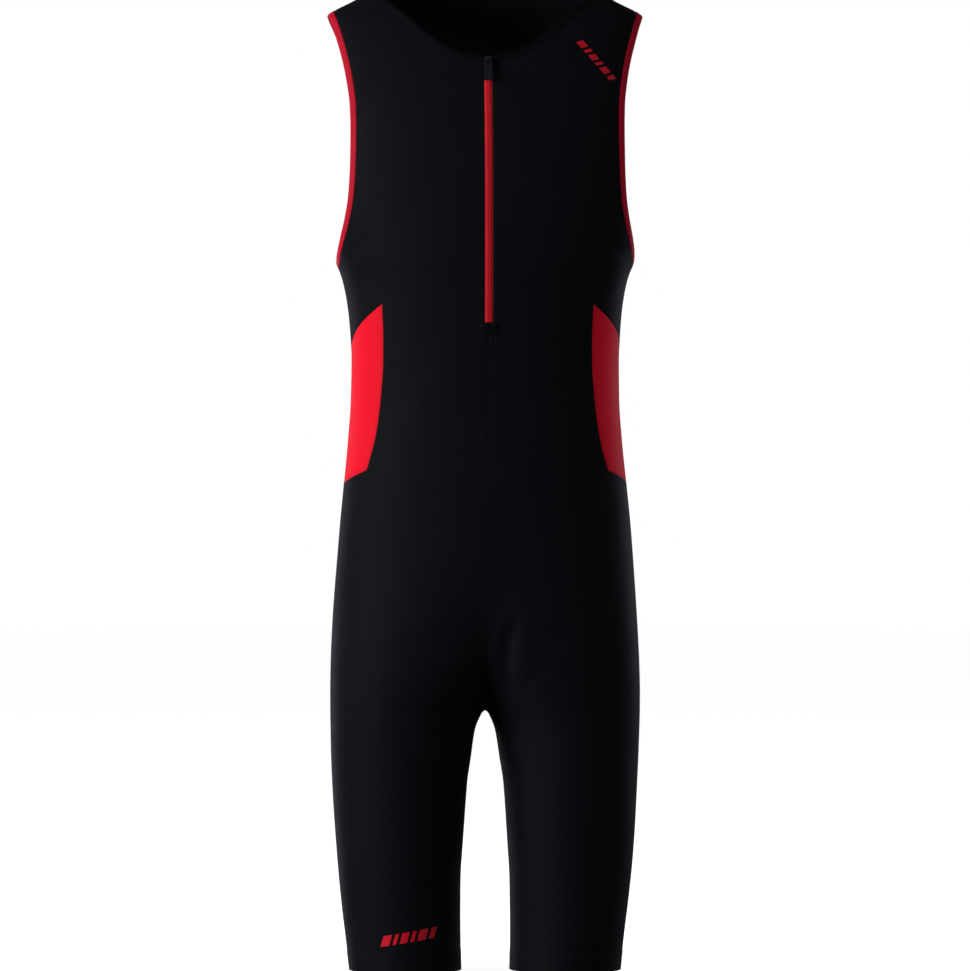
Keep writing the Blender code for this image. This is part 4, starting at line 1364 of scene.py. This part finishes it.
def coil_plastic(name, colour):
    finish = Finish(name, Specular_IOR_Level=0.5)
    cloud = finish.noise(300.0)
    finish.colours(cloud, shade(colour, 0.6), shade(colour, 1.0))
    finish.feed("Roughness", cloud * 0.12 + 0.3)
    finish.bump(cloud, 0.00004, 0.4)
    return finish.material


def painted_metal(name, colour):
    """Dark lacquer over die-cast metal: faint orange peel, brighter where it is handled."""
    finish = Finish(name, Metallic=0.75, Specular_IOR_Level=0.5)
    peel = finish.noise(2600.0, 2.0)
    wear = finish.noise(240.0, 4.0)
    finish.colours(wear ** 3.0, shade(colour, 0.8), shade(colour, 2.4))
    finish.feed("Roughness", wear * 0.2 + peel * 0.05 + 0.24)
    finish.bump(peel * 0.6 + wear * 0.4, 0.00003, 0.5)
    return finish.material


def print_film(name, colour):
    """Heat-pressed film: smooth, with the knit showing faintly through."""
    finish = Finish(name, Specular_IOR_Level=0.15)
    u, v = finish.cloth_place()
    through = (u * (2 * math.pi / 0.0009)).wave() * (v * (2 * math.pi / 0.0007)).wave()
    cloud = finish.noise(120.0)
    finish.colours(cloud * 0.7 + through * 0.15 + 0.15, shade(colour, 0.85), shade(colour, 1.12))
    finish.feed("Roughness", cloud * 0.15 + 0.38)
    finish.bump(through, 0.00005, 0.4)
    return finish.material


# ---------------------------------------------------------------- what a user may change


def length_property(name, text, value):
    return bpy.props.FloatProperty(name=name, description=text, default=value, min=0.0, subtype="DISTANCE")


def colour_property(name, text, value):
    return bpy.props.FloatVectorProperty(
        name=name, description=text, default=value, min=0.0, max=1.0, size=4, subtype="COLOR"
    )


class SuitSizes(bpy.types.PropertyGroup):
    """Sizes of the cloth and its sewing."""

    knit_wall: length_property("Knit Thickness", "How thick the knit is", 0.0012)
    wale_pitch: length_property("Wale Pitch", "From one wale of the knit to the next", 0.0009)
    stitch_pitch: length_property("Stitch Pitch", "From one stitch to the next", 0.003)
    stitch_length: length_property("Stitch Length", "How long one stitch lies on the cloth", 0.0024)
    thread_width: length_property("Thread Width", "How wide a stitch is", 0.00045)
    thread_height: length_property("Thread Height", "How proud a stitch is", 0.0003)
    film: length_property("Print Thickness", "How thick the prints' film is", 0.00012)


class SuitColours(bpy.types.PropertyGroup):
    """Colours of the cloth, thread, prints and zip."""

    black: colour_property("Black Knit", "Colour of the black panels", (0.0046, 0.0054, 0.0071, 1.0))
    red: colour_property("Red Knit", "Colour of the side inserts", (0.78, 0.006, 0.022, 1.0))
    black_binding: colour_property("Neck Binding", "Colour of its cloth", (0.003, 0.0034, 0.0048, 1.0))
    red_binding: colour_property("Armhole Binding", "Colour of its cloth", (0.47, 0.008, 0.026, 1.0))
    tape: colour_property("Zip Tape", "Colour of the zip's tapes", (0.6, 0.006, 0.014, 1.0))
    coil: colour_property("Zip Coil", "Colour of the zip's coil", (0.45, 0.006, 0.012, 1.0))
    film: colour_property("Prints", "Colour of the prints", (0.62, 0.007, 0.022, 1.0))
    metal: colour_property("Zip Metal", "Colour of the slider and its tab", (0.022, 0.025, 0.036, 1.0))


class SuitStage(bpy.types.PropertyGroup):
    """Where the camera stands, and how much it takes in."""

    distance: length_property("Camera Distance", "From the camera to the suit's middle", 6.0)
    width: length_property("View Width", "How much the view takes in at the suit", 0.9894)
    height: bpy.props.FloatProperty(
        name="Camera Height", description="Against the shoulders", default=-0.5095, subtype="DISTANCE"
    )
    turned: bpy.props.FloatProperty(
        name="Camera Angle",
        description="Round the suit from its front",
        default=math.radians(-2.4),
        subtype="ANGLE",
    )


class Maker:
    """What the operators share: the seams and the finishes, made once."""

    seams = None
    finishes = {}

    @classmethod
    def lines(cls):
        if cls.seams is None:
            cls.seams = Seams()
        return cls.seams

    @classmethod
    def finish(cls, name):
        if name not in cls.finishes:
            colours = bpy.context.scene.suit_colours
            pitch = bpy.context.scene.suit_sizes.wale_pitch
            lilac = (0.72, 0.7, 1.0, 1.0)
            rose = (1.0, 0.5, 0.6, 1.0)
            made = {
                "black_knit": lambda: knit(name, colours.black, pitch, 0.006, lilac, 0.03, 0.3),
                "red_knit": lambda: knit(name, colours.red, pitch, 0.005, rose, 0.04, 0.1),
                "black_binding": lambda: ribbed(name, colours.black_binding, 0.0012, 0.03, 0.005),
                "red_binding": lambda: ribbed(name, colours.red_binding, 0.0012, 0.05, 0.01, 0.15),
                "red_tape": lambda: woven_tape(name, colours.tape, 0.0008),
                "zip_coil": lambda: coil_plastic(name, colours.coil),
                "black_thread": lambda: thread(name, shade(colours.black, 1.1)),
                "red_thread": lambda: thread(name, shade(colours.red, 0.9)),
                "red_film": lambda: print_film(name, colours.film),
                "dark_metal": lambda: painted_metal(name, colours.metal),
            }[name]
            cls.finishes[name] = made()
        return cls.finishes[name]


# ---------------------------------------------------------------- operators


class SUIT_OT_panels(bpy.types.Operator):
    """Makes the knit panels and the prints on them"""

    bl_idname = "suit.panels"
    bl_label = "Knit Panels"

    def execute(self, context):
        seams = Maker.lines()
        sizes = context.scene.suit_sizes
        wall = sizes.knit_wall / MM
        kinds = (
            ("front", front_panel(seams), "black_knit"),
            ("back", back_panel(seams), "black_knit"),
            ("underarm", underarm_panel(seams), "black_knit"),
            ("side_insert", side_insert(seams), "red_knit"),
        )
        prints = {}
        for name, (side, *_) in MOTIFS.items():
            piece = motif(name, sizes.film / MM)
            piece.data.materials.append(Maker.finish("red_film"))
            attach(piece, "suit")
            prints["front", side] = [piece]
        for kind, uz, finish in kinds:
            for side in SIDES:
                piece = panel_object(kind, side, uz, wall)
                printed = prints.get((kind, side), [])
                sewn(piece, f"{kind}_{side}", finish, Maker.finish(finish), with_pieces=printed)
        return {"FINISHED"}


class SUIT_OT_bindings(bpy.types.Operator):
    """Makes the folded bindings round the armholes and the neck"""

    bl_idname = "suit.bindings"
    bl_label = "Bindings"

    def execute(self, context):
        seams = Maker.lines()
        for side in SIDES:
            piece, run = armhole_binding(seams, side)
            size = strip(BINDING_WIDTH + ARMHOLE_ROUND_EDGE, run)
            sewn(piece, f"armhole_binding_{side}", "red_binding", Maker.finish("red_binding"), size)
        piece, run = neck_binding(seams)
        size = strip(NECK_BINDING_WIDTH + NECK_ROUND_EDGE, run)
        sewn(piece, "neck_binding", "black_binding", Maker.finish("black_binding"), size)
        return {"FINISHED"}


class SUIT_OT_zip(bpy.types.Operator):
    """Makes the zip's tapes, coil and end patch, and lacquers its slider and tab"""

    bl_idname = "suit.zip"
    bl_label = "Zip"

    def execute(self, context):
        length = (TAPE_TOP - ZIP_FOOT) * MM
        size = ((TAPE_CUT * MM, length), TAPE_OUTER * TAPE_ROUND_SHARE * MM * length)
        for side in SIDES:
            sewn(zip_tape(side), f"zip_tape_{side}", "red_tape", Maker.finish("red_tape"), size)
        sewn(zip_end(), "zip_end", "black_binding", Maker.finish("black_binding"))
        tree = stitch_tree(Maker.finish("zip_coil"))
        coil = stitched("zip_coil", coil_places(), tree, COIL_SIZE, COIL_SEED)
        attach(coil, "suit")
        for node in ("zip_slider", "zip_pull_tab"):
            for slot in frame["nodes"][node].material_slots:
                slot.material = Maker.finish("dark_metal")
        return {"FINISHED"}


class SUIT_OT_stitching(bpy.types.Operator):
    """Sews the rows of stitches beside every seam"""

    bl_idname = "suit.stitching"
    bl_label = "Stitching"

    def execute(self, context):
        seams = Maker.lines()
        sizes = context.scene.suit_sizes
        pitch = sizes.stitch_pitch / MM
        size = [part / MM for part in (sizes.stitch_length, sizes.thread_width, sizes.thread_height)]
        black = stitch_tree(Maker.finish("black_thread"))
        red = stitch_tree(Maker.finish("red_thread"))
        for seed, side in enumerate(SIDES):
            rows = {
                f"black_stitches_{side}": (black_rows(seams, side, pitch), black, size, "black_knit"),
                f"red_stitches_{side}": (red_rows(seams, side, pitch), red, size, "red_knit"),
                f"bar_tacks_{side}": (bar_tacks(side), black, TACK_SIZE, "black_binding"),
            }
            for name, (places, tree, shape, slot) in rows.items():
                piece = stitched(name, places, tree, shape, seed)
                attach(piece, "suit")
        return {"FINISHED"}


FLOOR_REACH = 14.0
FLOOR_GAP = 0.0015
FLOOR_CORNERS = 96
# Name, place, what it is aimed at, size, power in watts and colour.
LIGHTS = (
    ("key", (-3.5, -1.5, 0.5), (0.0, 0.0, -0.45), (1.2, 2.0), 172.0, (1.0, 0.98, 0.97)),
    ("fill", (3.0, -2.6, 0.2), (0.0, 0.0, -0.5), (1.6, 2.2), 24.0, (0.94, 0.95, 1.0)),
    ("rim_left", (-1.6, 2.1, -0.4), (0.0, 0.0, -0.5), (0.6, 2.2), 13.0, (0.84, 0.8, 1.0)),
    ("rim_right", (2.0, 1.7, -0.1), (0.0, 0.0, -0.4), (0.6, 1.8), 14.0, (0.84, 0.8, 1.0)),
)


class SUIT_OT_stage(bpy.types.Operator):
    """Sets the floor, the light and the camera"""

    bl_idname = "suit.stage"
    bl_label = "Stage"

    def execute(self, context):
        scene = context.scene
        self.floor()
        self.backdrop(scene)
        for name, place, aim, size, power, colour in LIGHTS:
            lamp = bpy.data.lights.new(name, "AREA")
            lamp.shape = "RECTANGLE"
            lamp.size, lamp.size_y = size
            lamp.energy = power
            lamp.color = colour
            light = bpy.data.objects.new(name, lamp)
            light.location = place
            light.rotation_euler = (Vector(aim) - Vector(place)).to_track_quat("-Z", "Z").to_euler()
            scene.collection.objects.link(light)
        stage = scene.suit_stage
        camera = bpy.data.objects.new("camera", bpy.data.cameras.new("camera"))
        camera.data.sensor_fit = "HORIZONTAL"
        camera.data.lens = camera.data.sensor_width * stage.distance / stage.width
        camera.data.clip_end = 100.0
        away = Vector((math.sin(stage.turned), -math.cos(stage.turned), 0.0))
        camera.location = away * stage.distance + Vector((0, 0, stage.height))
        camera.rotation_euler = (-away).to_track_quat("-Z", "Y").to_euler()
        scene.collection.objects.link(camera)
        scene.camera = camera
        scene.view_settings.view_transform = "Standard"
        return {"FINISHED"}

    def floor(self):
        """A plain pale disc just under the hems."""
        level = CAD_BOX[0].z - FLOOR_GAP
        turns = np.linspace(0, 2 * math.pi, FLOOR_CORNERS + 1)[:-1]
        rim = np.stack([np.cos(turns), np.sin(turns), np.zeros(FLOOR_CORNERS)], 1) * FLOOR_REACH
        rim[:, 2] = level
        mesh = bpy.data.meshes.new("floor")
        mesh.from_pydata(rim.tolist(), [], [list(range(FLOOR_CORNERS))])
        disc = new_object("floor", mesh)
        finish = Finish("pale_floor", Roughness=0.8, Specular_IOR_Level=0.1, Emission_Strength=0.9)
        finish.shader.inputs["Base Color"].default_value = (0.8, 0.8, 0.8, 1.0)
        finish.shader.inputs["Emission Color"].default_value = (1.0, 1.0, 1.0, 1.0)
        mesh.materials.append(finish.material)
        disc.visible_diffuse = False
        disc.visible_glossy = False
        disc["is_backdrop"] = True

    def backdrop(self, scene):
        """White all round to look at, dimmer as light on the suit."""
        world = bpy.data.worlds.new("studio")
        world.use_nodes = True
        tree = world.node_tree
        light = tree.nodes["Background"]
        light.inputs["Color"].default_value = (0.93, 0.95, 1.0, 1.0)
        light.inputs["Strength"].default_value = 0.1
        seen = tree.nodes.new("ShaderNodeBackground")
        seen.inputs["Color"].default_value = (1.0, 1.0, 1.0, 1.0)
        mix = tree.nodes.new("ShaderNodeMixShader")
        rays = tree.nodes.new("ShaderNodeLightPath")
        tree.links.new(rays.outputs["Is Camera Ray"], mix.inputs[0])
        tree.links.new(light.outputs[0], mix.inputs[1])
        tree.links.new(seen.outputs[0], mix.inputs[2])
        tree.links.new(mix.outputs[0], tree.nodes["World Output"].inputs["Surface"])
        scene.world = world


class SUIT_PT_panel(bpy.types.Panel):
    """Lists the suit's sizes, colours and makers"""

    bl_label = "Triathlon Suit"
    bl_idname = "SUIT_PT_panel"
    bl_space_type = "VIEW_3D"
    bl_region_type = "UI"
    bl_category = "Triathlon Suit"

    def draw(self, context):
        layout = self.layout
        for group in (context.scene.suit_sizes, context.scene.suit_colours, context.scene.suit_stage):
            box = layout.box()
            for name in group.bl_rna.properties.keys():
                if name not in ("rna_type", "name"):
                    box.prop(group, name)
        for operator in OPERATORS:
            layout.operator(operator.bl_idname)


GROUPS = (SuitSizes, SuitColours, SuitStage)
OPERATORS = (SUIT_OT_panels, SUIT_OT_bindings, SUIT_OT_zip, SUIT_OT_stitching, SUIT_OT_stage)


def register():
    for cls in (*GROUPS, *OPERATORS, SUIT_PT_panel):
        bpy.utils.register_class(cls)
    bpy.types.Scene.suit_sizes = bpy.props.PointerProperty(type=SuitSizes)
    bpy.types.Scene.suit_colours = bpy.props.PointerProperty(type=SuitColours)
    bpy.types.Scene.suit_stage = bpy.props.PointerProperty(type=SuitStage)


def unregister():
    for name in ("suit_sizes", "suit_colours", "suit_stage"):
        delattr(bpy.types.Scene, name)
    for cls in (SUIT_PT_panel, *reversed(OPERATORS), *reversed(GROUPS)):
        bpy.utils.unregister_class(cls)


def clear_scene():
    """Takes away the start-up cube, lamp and camera, and leaves the frame."""
    for thing in list(bpy.data.objects):
        if thing.type in ("LIGHT", "CAMERA") or thing.name == "Cube":
            bpy.data.objects.remove(thing, do_unlink=True)


def main():
    register()
    clear_scene()
    for operator in (
        bpy.ops.suit.panels,
        bpy.ops.suit.bindings,
        bpy.ops.suit.zip,
        bpy.ops.suit.stitching,
        bpy.ops.suit.stage,
    ):
        operator()
    boxes = {"cad": CAD_BOX, "visual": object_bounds()}
    {name: [list(low), list(high)] for name, (low, high) in boxes.items()}


if __name__ == "__main__":
    main()
